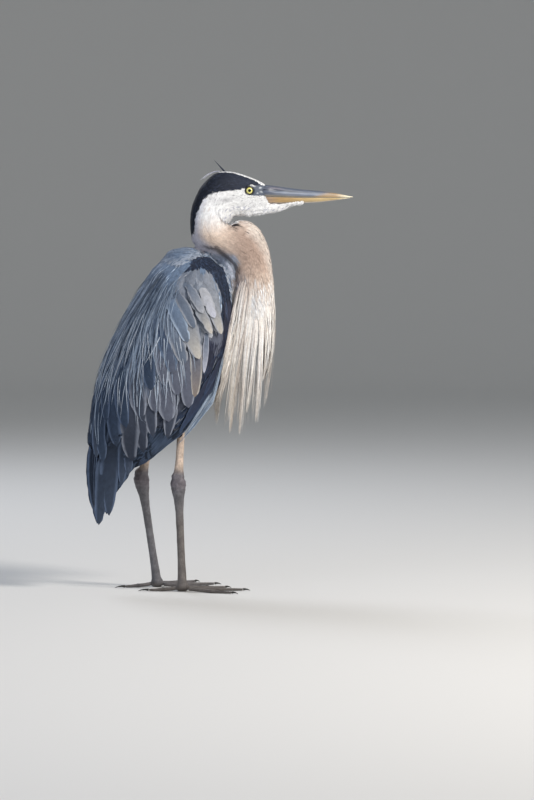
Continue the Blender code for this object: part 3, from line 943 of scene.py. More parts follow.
def ball(middle: Array, radii: tuple[float, float, float]) -> tuple[Array, Array]:
    """Points and triangles of a closed ellipsoid.

    Args:
        middle: its centre.
        radii: along X, Y and Z.

    Returns:
        Its points and triangles.
    """
    turns = 20
    down = np.linspace(0, math.pi, turns // 2 + 1)[1:-1]
    turn = circle(turns)
    rings = np.stack(
        [
            np.sin(down)[:, None] * np.cos(turn), np.sin(down)[:, None] * np.sin(turn),
            np.cos(down)[:, None] + 0 * turn
        ],
        -1,
    ).reshape(-1, 3)
    points = np.vstack([[[0, 0, 1.0]], rings, [[0, 0, -1.0]]]) * np.array(radii) + middle
    k = np.arange(turns)
    after = (k + 1) % turns
    faces = [np.stack([0 * k, 1 + k, 1 + after], 1)]
    for a in range(1, 1 + turns * (len(down) - 1), turns):
        faces.append(np.stack([a + k, a + turns + k, a + turns + after], 1))
        faces.append(np.stack([a + k, a + turns + after, a + after], 1))
    last = 1 + turns * (len(down) - 1)
    faces.append(np.stack([last + k, 0 * k + len(points) - 1, last + after], 1))
    return points, np.vstack(faces)


def remeshed(
    names: list[str], voxel: float, rounds: int, padding: list[tuple[Array, tuple[float, float, float]]]
) -> tuple[Array, Array]:
    """One closed smooth skin round several nodes.

    Args:
        names: the CAD nodes.
        voxel: size of the new faces.
        rounds: how many times it is smoothed.
        padding: the middles and radii of soft lumps that fill folds and joints.

    Returns:
        Points and triangles.
    """
    points, triangles, _ = joined(names)
    for middle, radii in padding:
        lump, faces = ball(middle, radii)
        triangles = np.vstack([triangles, faces + len(points)])
        points = np.vstack([points, lump])
    mesh = mesh_from("blank", points, triangles, np.zeros((0, 4), int))
    blank = placed("blank", mesh)
    weld = blank.modifiers.new("weld", "WELD")
    weld.merge_threshold = 0.00001
    voxels = blank.modifiers.new("voxels", "REMESH")
    voxels.mode = "VOXEL"
    voxels.voxel_size = voxel
    smooth = blank.modifiers.new("smooth", "SMOOTH")
    smooth.factor = 0.5
    smooth.iterations = rounds
    graph = bpy.context.evaluated_depsgraph_get()
    arrays = mesh_arrays(blank.evaluated_get(graph).to_mesh())
    bpy.data.objects.remove(blank)
    bpy.data.meshes.remove(mesh)
    return arrays


# ---------------------------------------------------------------------------------------------
# The body: where a point lies, how its feathers run and how they are marked

FLESH = ("head", "neck_upper", "neck_middle", "neck_lower", "trunk")
PAIRED_FLESH = ("wing", "mantle", "thigh")


@dataclass
class BodyMap:
    """Tells for any point of the bird its tract, its place along the neck and the feathers' lie."""

    # The crease where the folded neck sinks in behind the shoulder, X and Z; shade is painted along it.
    neck_crease: tuple = (
        (0.020, 0.5915), (0.050, 0.5865), (0.067, 0.5740), (0.0867, 0.5610), (0.0867, 0.5350)
    )
    # The fold between the head and the neck's bulge, X and Z; shade is painted along it too.
    throat_crease: tuple = ((0.0790, 0.6275), (0.0815, 0.6150))
    # The dark crescent at the bend of the wing, X and Z: its outer edge, then its inner one.
    crescent: tuple = (
        (0.004, 0.543), (0.009, 0.551), (0.017, 0.5605), (0.029, 0.5680), (0.0445, 0.5685), (0.059, 0.5635),
        (0.069, 0.5530), (0.0765, 0.5385), (0.0815, 0.5215), (0.082, 0.504), (0.080, 0.485), (0.076, 0.462),
        (0.070, 0.450), (0.063, 0.462), (0.060, 0.478), (0.053, 0.489), (0.0558, 0.507), (0.056, 0.5195),
        (0.0527, 0.532), (0.045, 0.5415), (0.036, 0.549), (0.027, 0.5515), (0.015, 0.548),
    )
    # The middle line from the bill's base through the folded neck to the breast, X and Z.
    neck_line: tuple = (
        (0.156, 0.662), (0.120, 0.669), (0.088, 0.671), (0.064, 0.661), (0.050, 0.638), (0.049, 0.618),
        (0.056, 0.604), (0.070, 0.597), (0.088, 0.590), (0.104, 0.577), (0.116, 0.559), (0.123, 0.538),
        (0.127, 0.510), (0.128, 0.480), (0.127, 0.450), (0.120, 0.400), (0.112, 0.340)
    )
    # The stretch of that line, as shares of it, where each part's points look for their place.
    stretches: dict = field(
        default_factory=lambda: {
            "head": (0.0, 0.36), "neck_upper": (0.14, 0.50), "neck_middle": (0.44, 0.74),
            "neck_lower": (0.66, 1.0)
        }
    )
    trunk_line: tuple = ((0.035, 0.585), (-0.120, 0.215))  # the trunk's axis, X and Z
    # The lower edge of the crown's black side, X and Z, and its rear edge down the nape, Z and X.
    cap_edge: tuple = (
        (0.044, 0.670), (0.055, 0.679), (0.075, 0.681), (0.090, 0.679), (0.102, 0.680), (0.109, 0.683),
        (0.116, 0.6865), (0.126, 0.6885), (0.142, 0.687), (0.146, 0.690), (0.150, 0.710),
    )
    nape_edge: tuple = (
        (0.600, 0.0), (0.612, 0.0215), (0.633, 0.0255), (0.643, 0.0285), (0.657, 0.035), (0.670, 0.044)
    )
    # The white stripe over the crown, X and half its width.
    stripe: tuple = ((0.070, 0.0), (0.084, 0.005), (0.110, 0.0066), (0.135, 0.0062), (0.150, 0.008))
    # The top of the bare skin before the eye, X and Z.
    lore_top: tuple = ((0.120, 0.685), (0.130, 0.6875), (0.142, 0.688), (0.156, 0.688))
    # The lower edge of the pale shoulder, X and Z.
    shoulder_edge: tuple = ((-0.03, 0.572), (0.0, 0.556), (0.03, 0.566), (0.05, 0.560), (0.075, 0.530))
    # The outline of the grey coverts, X and Z.
    coverts: tuple = (
        (0.000, 0.544), (0.022, 0.551), (0.040, 0.547), (0.052, 0.533), (0.056, 0.515), (0.054, 0.489),
        (0.058, 0.476), (0.056, 0.466), (0.040, 0.456), (0.030, 0.442), (0.022, 0.420), (0.010, 0.404),
        (-0.004, 0.404), (-0.012, 0.440), (-0.008, 0.480), (-0.008, 0.520),
    )
    # The upper edge of the wing's large feathers, X and Z.
    wing_top: tuple = (
        (-0.150, 0.402), (-0.107, 0.384), (-0.050, 0.384), (-0.030, 0.405), (-0.014, 0.440), (-0.006, 0.480)
    )
    # The rear edge of the dark belly on the trunk and on the wing, Z and X.
    belly_on_trunk: tuple = ((0.21, -0.14), (0.30, -0.08), (0.40, -0.02))
    belly_on_wing: tuple = ((0.36, 0.022), (0.41, 0.028), (0.436, 0.034), (0.446, 0.060))
    # The belly's lower outline, X and Z.
    hem: tuple = (
        (-0.060, 0.215), (-0.040, 0.230), (-0.007, 0.254), (0.014, 0.277), (0.047, 0.318), (0.066, 0.391)
    )
    # The lie of the body's feathers: X, Z and the angle from straight down, plus towards the bill.
    combing: tuple = (
        (0.030, 0.582, -70), (-0.010, 0.578, -66), (0.000, 0.550, -42), (-0.040, 0.548, -42),
        (-0.070, 0.500, -30), (-0.100, 0.450, -26), (-0.125, 0.400, -20), (-0.145, 0.350, -10),
        (-0.150, 0.290, -2), (-0.020, 0.500, -16), (-0.030, 0.440, 0), (-0.070, 0.420, -8),
        (0.010, 0.470, 16), (0.025, 0.440, 24), (-0.090, 0.330, 2), (-0.040, 0.350, 8), (-0.100, 0.260, 0),
        (0.050, 0.572, 34), (0.066, 0.555, 26), (0.075, 0.520, 10), (0.078, 0.470, -4), (0.055, 0.520, 6),
        (0.030, 0.535, 0), (0.070, 0.400, -24), (0.050, 0.340, -40), (0.020, 0.300, -48),
        (-0.020, 0.270, -50), (-0.060, 0.240, -50), (0.095, 0.440, -8)
    )

    def __post_init__(self) -> None:
        """Works out the tie to the frame and the neck's line."""
        low, high = zip(*(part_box(f"eye_{side}") for side in SIDES))
        middle = (np.min(low, axis=0) + np.max(high, axis=0)) / 2
        self.origin = middle - np.array([EYES[0], 0.0, EYES[1]])
        self.samples = 200
        self.line = curve(list(self.neck_line), self.samples)
        self.heading = unit(np.gradient(self.line, axis=0))
        steps = np.linalg.norm(np.diff(self.line, axis=0), axis=1)
        self.reach = np.concatenate([[0], np.cumsum(steps)])
        self.arrows = np.array(self.combing, float)
        self.names = list(FLESH) + [f"{part}_{side}" for part in PAIRED_FLESH for side in SIDES]

    def own(self, places: Array) -> Array:
        """Points of the model's frame in the bird's own frame."""
        return places - self.origin

    def on_neck(self, q: Array, part: Array) -> tuple[Array, Array, Array]:
        """Places along the head and neck.

        Args:
            q: points in the bird's own frame.
            part: for each, the number of its body part in names.

        Returns:
            The sample of the neck's line nearest to each point, how far it is towards the back
            of the neck (1) or the throat (-1), and its angle round the line.
        """
        gap = np.hypot(q[:, None, 0] - self.line[None, :, 0], q[:, None, 2] - self.line[None, :, 1])
        share = np.linspace(0, 1, self.samples)[None]
        low, high = np.zeros(len(q)), np.ones(len(q))
        for name, (a, b) in self.stretches.items():
            here = part == self.names.index(name)
            low[here], high[here] = a, b
        gap = gap + 9.0 * ((share < low[:, None]) | (share > high[:, None]))
        at = gap.argmin(axis=1)
        heading = self.heading[at]
        back = np.stack([heading[:, 1], -heading[:, 0]], 1)
        offset = q[:, [0, 2]] - self.line[at]
        rise = (offset * back).sum(axis=1)
        around = np.arctan2(q[:, 1], rise)
        return at, rise / np.maximum(np.hypot(rise, q[:, 1]), 1e-6), around

    @staticmethod
    def is_neck(part: Array) -> Array:
        """Whether a part number is the head's or a length of the neck's."""
        return part < FLESH.index("trunk")

    def is_thigh(self, part: Array) -> Array:
        """Whether a part number is a thigh's."""
        return np.isin(part, [i for i, name in enumerate(self.names) if name.startswith("thigh")])

    def lie(self, q: Array, part: Array) -> Array:
        """The direction in which feathers run, not yet laid on the skin.

        Args:
            q: points in the bird's own frame.
            part: the number of each one's body part.

        Returns:
            A unit direction for each point.
        """
        gap = ((q[:, None, [0, 2]] - self.arrows[None, :, :2]) ** 2).sum(axis=2)
        weight = 1 / (gap + 1e-5) ** 2
        angle = np.radians(self.arrows[:, 2])
        x = (weight * np.sin(angle)).sum(axis=1)
        z = -(weight * np.cos(angle)).sum(axis=1)
        flow = np.stack([x, 0 * x, z], 1)
        neck = self.is_neck(part)
        if neck.any():
            at, back, _ = self.on_neck(q[neck], part[neck])
            heading = self.heading[at]
            along = np.stack([heading[:, 0], 0 * at, heading[:, 1]], 1)
            cheek = (part[neck] == 0) * ramp(-back, 0.1, 0.8) * ramp(q[neck, 0], 0.09, 0.12)
            along[:, 2] -= 1.1 * cheek
            flow[neck] = along
        return unit(flow)

    def zones(self, q: Array, part: Array) -> Array:
        """The tract that each point belongs to.

        Args:
            q: points in the bird's own frame.
            part: the number of each one's body part.

        Returns:
            A Zone for each point.
        """
        x, y, z = q[:, 0], np.abs(q[:, 1]), q[:, 2]
        at, back, _ = self.on_neck(q, part)
        zone = np.full(len(q), int(Zone.BACK))
        names = np.array([name.split("_")[0] for name in self.names])
        kind = names[part]

        head = kind == "head"
        zone[head] = Zone.FACE
        zone[head & ((z < 0.653) | (x > 0.152)) & (back < -0.2)] = Zone.CHIN
        neck = (kind == "neck") & (at < 0.50 * self.samples)
        zone[neck] = Zone.NECK
        zone[(kind == "neck") & ~neck] = Zone.THROAT
        lowest = (kind == "neck") & (at > 0.6 * self.samples)
        zone[lowest & (z < 0.540 + 0.014 * wobble(q, 0.012))] = Zone.BREAST
        crown_edge = read(self.cap_edge, x) + 0.0012 * wobble(q, 0.006, 3.0)
        nape_edge = read(self.nape_edge, z) + 0.0008 * wobble(q, 0.007, 1.0)
        dark = (head | neck) & (((x >= 0.044) & (z > crown_edge)) | ((x < 0.044) & (x < nape_edge)))
        zone[dark & (z > 0.604)] = Zone.CAP
        zone[head & (x > 0.072) & (y < read(self.stripe, x)) & (z > 0.680)] = Zone.CROWN
        bare = (x > 0.121) & (z > 0.6690) & (z < read(self.lore_top, x)) & (y > 0.004)
        zone[head & bare] = Zone.LORES
        zone[head & (np.hypot(x - EYES[0], z - EYES[1]) < 0.0084) & (y > 0.008)] = Zone.LID

        wing = (kind == "wing") | (kind == "mantle") | (kind == "trunk")
        zone[wing & (z > read(self.shoulder_edge, x))] = Zone.SHOULDER
        zone[(kind == "trunk") & (z > 0.50) & (x > 0.04)] = Zone.SHOULDER
        rough = q + 0.0015 * wobble(q, 0.008)[:, None]
        gray = self.inside(rough[:, 0], rough[:, 2], self.coverts)
        zone[wing & gray & (y > 0.02)] = Zone.COVERT
        bend = q + 0.0006 * wobble(q, 0.006)[:, None]
        crescent = self.inside(bend[:, 0], bend[:, 2], self.crescent)
        zone[wing & crescent & (y > 0.012)] = Zone.EPAULET
        low = wing & (z < read(self.wing_top, x) + 0.004 * wobble(q, 0.02)) & ~gray & ~crescent
        zone[low & (y > 0.004)] = Zone.WING
        front = (z < 0.50) & (x > read(self.belly_on_trunk, z)) & (y < 0.075)
        zone[(kind == "trunk") & front] = Zone.BELLY
        zone[wing & (z < 0.446) & (x > read(self.belly_on_wing, z))] = Zone.BELLY
        zone[(kind == "trunk") & (z < 0.262) & (x < -0.045)] = Zone.VENT
        zone[kind == "thigh"] = Zone.THIGH
        zone[(kind == "thigh") & (z < self.skirt(x) + 0.006)] = Zone.BARE
        return zone

    def skirt(self, x: Array) -> Array:
        """The height of the belly's lower outline, below which the legs are bare."""
        return read(self.hem, x)

    @staticmethod
    def distance(x: Array, z: Array, line: tuple) -> Array:
        """How far points lie from a line of X and Z.

        Args:
            x: along the bird.
            z: up.
            line: the line's corners.

        Returns:
            A distance for each point.
        """
        result = np.full(len(x), np.inf)
        for start, end in zip(line[:-1], line[1:]):
            course = np.subtract(end, start)
            offset = np.stack([x, z], 1) - np.array(start)
            along = np.clip(offset @ course / (course @ course), 0, 1)
            result = np.minimum(result, np.linalg.norm(offset - along[:, None] * course, axis=1))
        return result

    @staticmethod
    def inside(x: Array, z: Array, outline: tuple) -> Array:
        """Whether points lie inside an outline of X and Z.

        Args:
            x: along the bird.
            z: up.
            outline: its corners.

        Returns:
            True for the points inside.
        """
        result = np.zeros(len(x), bool)
        ax, az = outline[-1]
        for bx, bz in outline:
            crossing = (az > z) != (bz > z)
            with np.errstate(divide="ignore", invalid="ignore"):
                reach = ax + (z - az) / (bz - az) * (bx - ax) if bz != az else ax
            result ^= crossing & (x < reach)
            ax, az = bx, bz
        return result

    def dyes(self, q: Array, part: Array, zone: Array) -> tuple[Array, Array]:
        """The markings, and painted shade along the neck's creases: the main colour and the second colour
        of the feathers at each point.

        Args:
            q: points in the bird's own frame.
            part: the number of each one's body part.
            zone: the tract of each one.

        Returns:
            Both colours, one row per point.
        """
        x, z = q[:, 0], q[:, 2]
        _, back, _ = self.on_neck(q, part)
        ear = hump(x, z, (0.081, 0.6640), (0.012, 0.0035)) * 0.75
        neck = mix(Dye.WHITE, Dye.BUFF, ramp(-z, -0.650, -0.606))
        neck = mix(neck, Dye.LAVENDER, ramp(back, 0.45, 0.95) * 0.8)
        bulge = ramp(x, 0.050, 0.100) * ramp(z, 0.515, 0.585) * ramp(-z, -0.634, -0.606)
        neck = mix(neck, Dye.TAN, bulge)
        lower = mix(Dye.BUFF, Dye.BREAST, ramp(-z, -0.560, -0.520))
        lower = mix(lower, Dye.TAN, bulge)
        pale = np.maximum(ramp(-z, -0.530, -0.475), 0.6 * ramp(-back, 0.60, 0.95))
        lower = mix(lower, Dye.IVORY, pale)
        # Painted shade: a grey-mauve smudge where the neck's foot creases in by the shoulder.
        lower = mix(lower, Dye.MAUVE, hump(x, z, (0.093, 0.532), (0.011, 0.018)) * 0.8)
        brown = mix(lower, Dye.TAN_DARK, 0.3)
        top = ramp(z, 0.556, 0.578) * ramp(-x, -0.05, 0.0)
        slate = mix(Dye.BLUE_GREY, Dye.SLATE, ramp(-z, -0.56, -0.40))
        paleness = ramp(x, 0.010, 0.045) * (0.35 + 0.65 * ramp(-z, -0.530, -0.470))
        rear = ramp(-x, 0.045, 0.100)
        wing = mix(Dye.MAUVE_GREY, Dye.TERTIAL, ramp(-z, -0.42, -0.31))
        tracts = {
            Zone.FACE: (mix(Dye.WHITE, Dye.EAR_GREY, ear) * 0.94, Dye.EAR_GREY),
            Zone.CROWN: (Dye.WHITE, Dye.LAVENDER), Zone.CHIN: (Dye.WHITE, Dye.LAVENDER),
            Zone.CAP: (mix(Dye.CAP, Dye.CAP_SHEEN, ramp(x, 0.045, 0.125) * 0.8), Dye.CAP_SHEEN),
            Zone.LORES: (Dye.LORES, Dye.LORES_PALE), Zone.LID: (Dye.LID, Dye.LID),
            Zone.NECK: (neck, mix(neck, Dye.TAN, 0.35)),
            Zone.THROAT: (lower, mix(lower, Dye.TAN_DARK, 0.25)),
            Zone.BREAST: (lower, mix(brown, Dye.WHITE, ramp(-z, -0.56, -0.52))),
            Zone.SHOULDER: (mix(Dye.PALE_GREY, Dye.BLUE_GREY, top), Dye.BLUE_GREY),
            Zone.BACK: (mix(slate, Dye.SLATE_DEEP, ramp(-z, -0.42, -0.28)), Dye.SILVER),
            Zone.EPAULET: (Dye.INK, Dye.INK_BLUE),
            Zone.COVERT: (mix(Dye.COVERT, Dye.COVERT_PALE, paleness), Dye.COVERT_PALE),
            Zone.WING: (mix(wing, Dye.SLATE_DEEP, rear), mix(wing, Dye.SLATE, rear)),
            Zone.BELLY: (mix(Dye.INK, Dye.DUSK, ramp(z, 0.375, 0.405)), Dye.INK_BLUE),
            Zone.THIGH: (Dye.CHESTNUT, Dye.RUST), Zone.VENT: (Dye.SLATE, Dye.LAVENDER),
            Zone.BARE: (Dye.DUSK, Dye.INK)
        }
        main, second = np.zeros((len(q), 3)), np.zeros((len(q), 3))
        for tract, colours in tracts.items():
            here = zone == tract
            for rows, colour in zip((main, second), colours):
                colour = colour.rgb if isinstance(colour, Palette) else colour
                rows[here] = np.broadcast_to(colour, rows.shape)[here]
        behind = ramp(-x, -0.0875, -0.0825) * ramp(-z, -0.580, -0.572)
        behind = behind * (zone >= Zone.NECK) * (zone <= Zone.BREAST)
        main, second = mix(main, Dye.PALE_GREY, behind), mix(second, Dye.LAVENDER, behind)
        # Painted shade: the feathers are darkened along the neck's creases, where the folds fall in shade.
        crease = np.minimum(self.distance(x, z, self.neck_crease), self.distance(x, z, self.throat_crease))
        shade = 0.75 * ramp(-crease, -0.0052, -0.0010) * ramp(np.abs(q[:, 1]), 0.006, 0.014)
        return mix(main, Dye.CREASE_SHADE, shade), mix(second, Dye.CREASE_SHADE, shade)

    def unwrap(self, q: Array, part: Array) -> Array:
        """Each point's place on the bake map: the neck and the trunk as two slit tubes.

        Args:
            q: points in the bird's own frame.
            part: the number of each one's body part.

        Returns:
            U and V for each point.
        """
        at, _, around = self.on_neck(q, part)
        places = np.zeros((len(q), 2))
        places[:, 0] = 0.02 + 0.42 * self.reach[at] / self.reach[-1]
        places[:, 1] = 0.5 + 0.45 * around / math.pi
        body = ~self.is_neck(part)
        start, end = (np.array(p) for p in self.trunk_line)
        axis = unit(end - start)
        offset = q[body][:, [0, 2]] - start
        share = np.clip((offset @ axis) / np.linalg.norm(end - start), -0.1, 1.15)
        turn = np.arctan2(q[body, 1], offset @ np.array([axis[1], -axis[0]]))
        thigh = self.is_thigh(part[body])
        places[body, 0] = np.where(thigh, 0.93, 0.52) + np.where(thigh, 0.04, 0.32) * share
        places[body, 1] = 0.5 + 0.45 * turn / math.pi
        return places


class Leg(Palette):
    """The colours of the bare legs."""

    SAND = "#cdb9a8"
    GREY = "#6b6a6e"
    # Painted light: the warm tone of the lit leg.
    LIT_BROWN = "#70675e"
    MAUVE = "#675f66"
    DARK = "#57504b"


@dataclass
class Skin:
    """The one skin under all feathers, inside the solids by the depth of the coat."""

    map: BodyMap
    voxel: float = 0.0023
    leg_voxel: float = 0.0013
    # Lumps that fill the skin's folds: X, Y, Z and radii.
    folds: tuple = (
        ((0.0350, 0.0, 0.5990), (0.0160, 0.0155, 0.0150)),
        ((0.0100, 0.0, 0.5700), (0.0360, 0.0340, 0.0140)),
        ((0.0480, 0.0, 0.5960), (0.0160, 0.0170, 0.0140)),
        ((0.0800, 0.0, 0.5420), (0.0150, 0.0240, 0.0260)),
        ((0.0860, 0.0, 0.5180), (0.0100, 0.0230, 0.0220)),
    )
    # The pale spots of the bare skin before the eye: X and Z, and how far each reaches.
    lore_spots: tuple = (
        ((0.1256, 0.6862), (0.0022, 0.0014)), ((0.1375, 0.6835), (0.0032, 0.0013)),
        ((0.1410, 0.6775), (0.0060, 0.0013)), ((0.1300, 0.6742), (0.0050, 0.0008)),
    )
    # The gape's dark line is painted shade of the closed mouth's slit.
    gape_line: tuple = ((0.107, 0.6668), (0.1475, 0.6702))  # the dark line of the gape, X and Z
    # How deep the coat is over each part.
    depths: dict = field(
        default_factory=lambda: {
            "head": 0.0011, "neck_upper": 0.0016, "neck_middle": 0.0020, "neck_lower": 0.0030,
            "trunk": 0.0036, "wing": 0.0036, "mantle": 0.0034, "thigh": 0.0045,
        }
    )

    def build(self, finish: Material, leg_finish: Material) -> None:
        """Makes the skin and the bare legs as one piece.

        Args:
            finish: the coat's material.
            leg_finish: the bare legs' material.
        """
        points, triangles, part = self.shrunk()
        self.surface = Surface(points, triangles)
        self.part = part[triangles[:, 0]]
        self.middles = self.map.own(self.surface.middles)
        self.zone = self.map.zones(self.middles, self.part)
        leg_points, leg_triangles = self.legs()
        own, leg_own = self.map.own(points), self.map.own(leg_points)
        faces = np.vstack([triangles, leg_triangles + len(points)])
        mesh = mesh_from("skin", np.vstack([points, leg_points]), faces, np.zeros((0, 4), int))
        dye_mesh(mesh, "tint", np.vstack([self.marked(own, part), self.leg_dyes(leg_own)]))
        turn = np.arctan2(leg_own[:, 1] - np.sign(leg_own[:, 1]) * 0.035, leg_own[:, 0] + 0.02)
        row = 0.25 + 0.5 * (leg_own[:, 1] > 0) + 0.2 * turn / math.pi
        leg_places = np.stack([0.975 + 0.02 * leg_own[:, 2] / 0.3, row], 1)
        map_mesh(mesh, BAKE_MAP, np.vstack([self.map.unwrap(own, part), leg_places]))
        slots = np.concatenate([np.zeros(len(triangles)), np.ones(len(leg_triangles))])
        piece = show(mesh, [finish, leg_finish])
        mesh.polygons.foreach_set("material_index", slots.astype(np.int32))
        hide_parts(*self.map.names, *self.leg_names())
        log.info("skin: %d triangles", len(faces))

    def shrunk(self) -> tuple[Array, Array, Array]:
        """The skin's points, pulled in by the coat's depth, its triangles and each point's body part.

        Returns:
            Points, triangles and part numbers.
        """
        lumps = [(self.map.origin + middle, radii) for middle, radii in self.folds]
        points, triangles = remeshed(self.map.names, self.voxel, 4, lumps)
        rough = Surface(points, triangles)
        solid_points, solid_triangles, owner = joined(self.map.names)
        _, _, hit = Surface(solid_points, solid_triangles).nearest(points)
        part = owner[hit]
        depth = np.array([self.depth_of(name) for name in self.map.names])[part]
        own = self.map.own(points)
        thigh = self.map.is_thigh(part)
        shank = np.where(
            own[:, 1] < 0,
            0.2650 + 0.05 * ramp(own[:, 0], 0.0040, 0.0085),
            0.2520 + 0.05 * ramp(own[:, 0], -0.038, -0.030),
        )  # the shanks reach just above this
        hem = self.map.origin[2] + np.minimum(self.map.skirt(own[:, 0]) + 0.003, shank)
        points = points - rough.point_normals * depth[:, None]
        under = thigh & (points[:, 2] < hem)
        points[:, 2] = np.where(under, hem + 0.1 * (points[:, 2] - hem), points[:, 2])
        gather = 0.44 * ramp(hem + 0.014 - points[:, 2], 0.0, 0.014) * thigh
        for side, sign in SIDES.items():  # the thigh closes round the shank
            bone, _ = node_arrays(f"shank_{side}")
            top = bone[bone[:, 2] > bone[:, 2].max() - 0.012].mean(axis=0)
            pull = gather * (own[:, 1] * sign > 0)
            points[:, :2] += (top[:2] - points[:, :2]) * pull[:, None]
        return self.relaxed(points, triangles), triangles, part

    def marked(self, own: Array, part: Array) -> Array:
        """The skin's colours: the coat's, a little darker, with the marks of the lores and painted shade
        along the gape.

        Args:
            own: points in the bird's own frame.
            part: the number of each one's body part.

        Returns:
            A colour for each point.
        """
        zone = self.map.zones(own, part)
        main, _ = self.map.dyes(own, part, zone)
        main = main * np.where(zone < Zone.SHOULDER, 0.97, 0.80)[:, None]
        x, z = own[:, 0] + 0.0006 * wobble(own, 0.004, 2.0), own[:, 2] + 0.0006 * wobble(own, 0.003)
        pale = np.zeros(len(own))
        for spot, reach in self.lore_spots:
            pale = np.maximum(pale, hump(x, z, spot, reach))
        main = mix(main, Dye.LORES_PALE, (zone == Zone.LORES) * ramp(pale, 0.35, 0.75))
        # Painted shade along the gape's slit.
        gape = bell(z, read(self.gape_line, x), 0.0009) * ramp(x, 0.106, 0.116)
        return mix(main, Dye.LID, gape * (part == FLESH.index("head")) * 0.8)

    def roots(
        self, chosen: Array, spacing: float, rng: np.random.Generator
    ) -> tuple[Array, Array, Array, Array, Array]:
        """Random roots for feathers.

        Args:
            chosen: whether each of the skin's triangles may bear them.
            spacing: between them.
            rng: the source of chance.

        Returns:
            The roots, their triangles, their places in the bird's own frame, their body parts and
            their places on the bake map.
        """
        spots, index = self.surface.scatter(chosen, spacing, rng)
        own, part = self.map.own(spots), self.part[index]
        return spots, index, own, part, self.map.unwrap(own, part)

    def depth_of(self, name: str) -> float:
        """The coat's depth over a body part."""
        return self.depths.get(name) or self.depths[name.split("_")[0]]

    @staticmethod
    def relaxed(points: Array, triangles: Array) -> Array:
        """Points moved half the way to their neighbours' middle.

        Args:
            points: the points.
            triangles: the triangles that join them.

        Returns:
            The moved points.
        """
        ends = np.concatenate([triangles[:, [0, 1]], triangles[:, [1, 2]], triangles[:, [2, 0]]])
        total, count = np.zeros_like(points), np.zeros(len(points))
        for a, b in ((0, 1), (1, 0)):
            np.add.at(total, ends[:, a], points[ends[:, b]])
            np.add.at(count, ends[:, a], 1)
        return points + 0.5 * (total / np.maximum(count, 1)[:, None] - points)

    @staticmethod
    def leg_names() -> list[str]:
        """The CAD nodes that the legs' skin stands for."""
        parts = ("shank", "tarsus", "foot") + TOES
        return [f"{part}_{side}" for side in SIDES for part in parts]

    def legs(self) -> tuple[Array, Array]:
        """The scaly skin of both legs, with raised scutes down the front and over the toes.

        Returns:
            Points and triangles.
        """
        points, triangles = remeshed(self.leg_names(), self.leg_voxel, 6, self.ankles())
        surface = Surface(points, triangles)
        own = self.map.own(points)
        lift = self.scutes(own, surface.point_normals)
        moved = points + surface.point_normals * lift[:, None]
        moved[:, 2] = np.maximum(moved[:, 2], np.clip(points[:, 2], 0.0, 0.0004))  # the soles stay flat
        return moved, triangles

    @staticmethod
    def ankles() -> list[tuple[Array, tuple[float, float, float]]]:
        """The knobs of the ankle joints, and the fillings of the ends of the bare shanks.

        Returns:
            The middle and the radii of each ball.
        """
        lumps = []
        for side in SIDES:
            points, _ = node_arrays(f"tarsus_{side}")
            top = points[points[:, 2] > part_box(f"tarsus_{side}")[1][2] - 0.012].mean(axis=0)
            lumps.append((top + (0.0003, 0.0, -0.0010), (0.0108, 0.0088, 0.0130)))
            lumps.append((top + (0.0050, 0.0, -0.0085), (0.0068, 0.0080, 0.0090)))
            lumps.append((top + (-0.0045, 0.0, 0.0035), (0.0068, 0.0078, 0.0120)))
        return lumps

    @staticmethod
    def scutes(q: Array, normals: Array) -> Array:
        """How far the scales stand out at each point of the leg.

        Args:
            q: points of a leg.
            normals: the leg's normals there.

        Returns:
            A height for each point.
        """
        up = np.abs(q[:, 2] % 0.0052 / 0.0052 - 0.5) * 2
        plate = 1 - np.clip((up - 0.72) / 0.28, 0, 1) ** 2
        front = ramp(normals[:, 0], 0.1, 0.6) * ramp(q[:, 2], 0.018, 0.03)
        ankle = bell(q[:, 2], 0.186, 0.020)
        folds = np.sin(q[:, 2] / 0.0011 + 3 * np.sin(q[:, 0] / 0.006)) * 0.5
        knob = wobble(q, 0.007, 1.0) * 0.5
        toes = ramp(-q[:, 2], -0.014, -0.006) * ramp(normals[:, 2], 0.3, 0.8)
        rings = 1 - np.abs(np.hypot(q[:, 0], q[:, 1]) % 0.0042 / 0.0042 - 0.5) * 2
        lift = 0.00070 * front * plate * (1 - ankle) + ankle * (0.0011 * knob + 0.00050 * folds)
        return lift + toes * 0.0004 * np.sqrt(rings)

    @staticmethod
    def leg_dyes(q: Array) -> Array:
        """The colours of the bare leg: sand-coloured shank, grey below the ankle, with painted light
        warming the right leg's lower part brown.

        Args:
            q: points of a leg.

        Returns:
            A colour for each point.
        """
        colours = mix(Leg.GREY, Leg.SAND, ramp(q[:, 2], 0.196, 0.212))
        # Painted light: the right leg's lower part is warmed brown like the lit leg, and the left one stays
        # grey like the shaded one.
        colours = mix(colours, Leg.LIT_BROWN, 0.6 * (q[:, 1] < 0) * ramp(-q[:, 2], -0.17, -0.10))
        ankle = bell(q[:, 2], 0.186, 0.016)
        colours = mix(colours, Leg.MAUVE, 0.65 * ankle)
        return mix(colours, Leg.DARK, 0.6 * ramp(-q[:, 2], -0.016, -0.004))


# ---------------------------------------------------------------------------------------------
# Feathers


@dataclass(frozen=True)
class Growth:
    """How the small feathers of one tract grow."""

    spacing: float
    length: float
    half_width: float
    lift: float  # how far the tips stand off the skin
    steps: int
    ruffle: float  # how far one may turn from the lie, in degrees
    speckle: float  # how much brightness differs from feather to feather
    second: float  # share of feathers that take the second colour


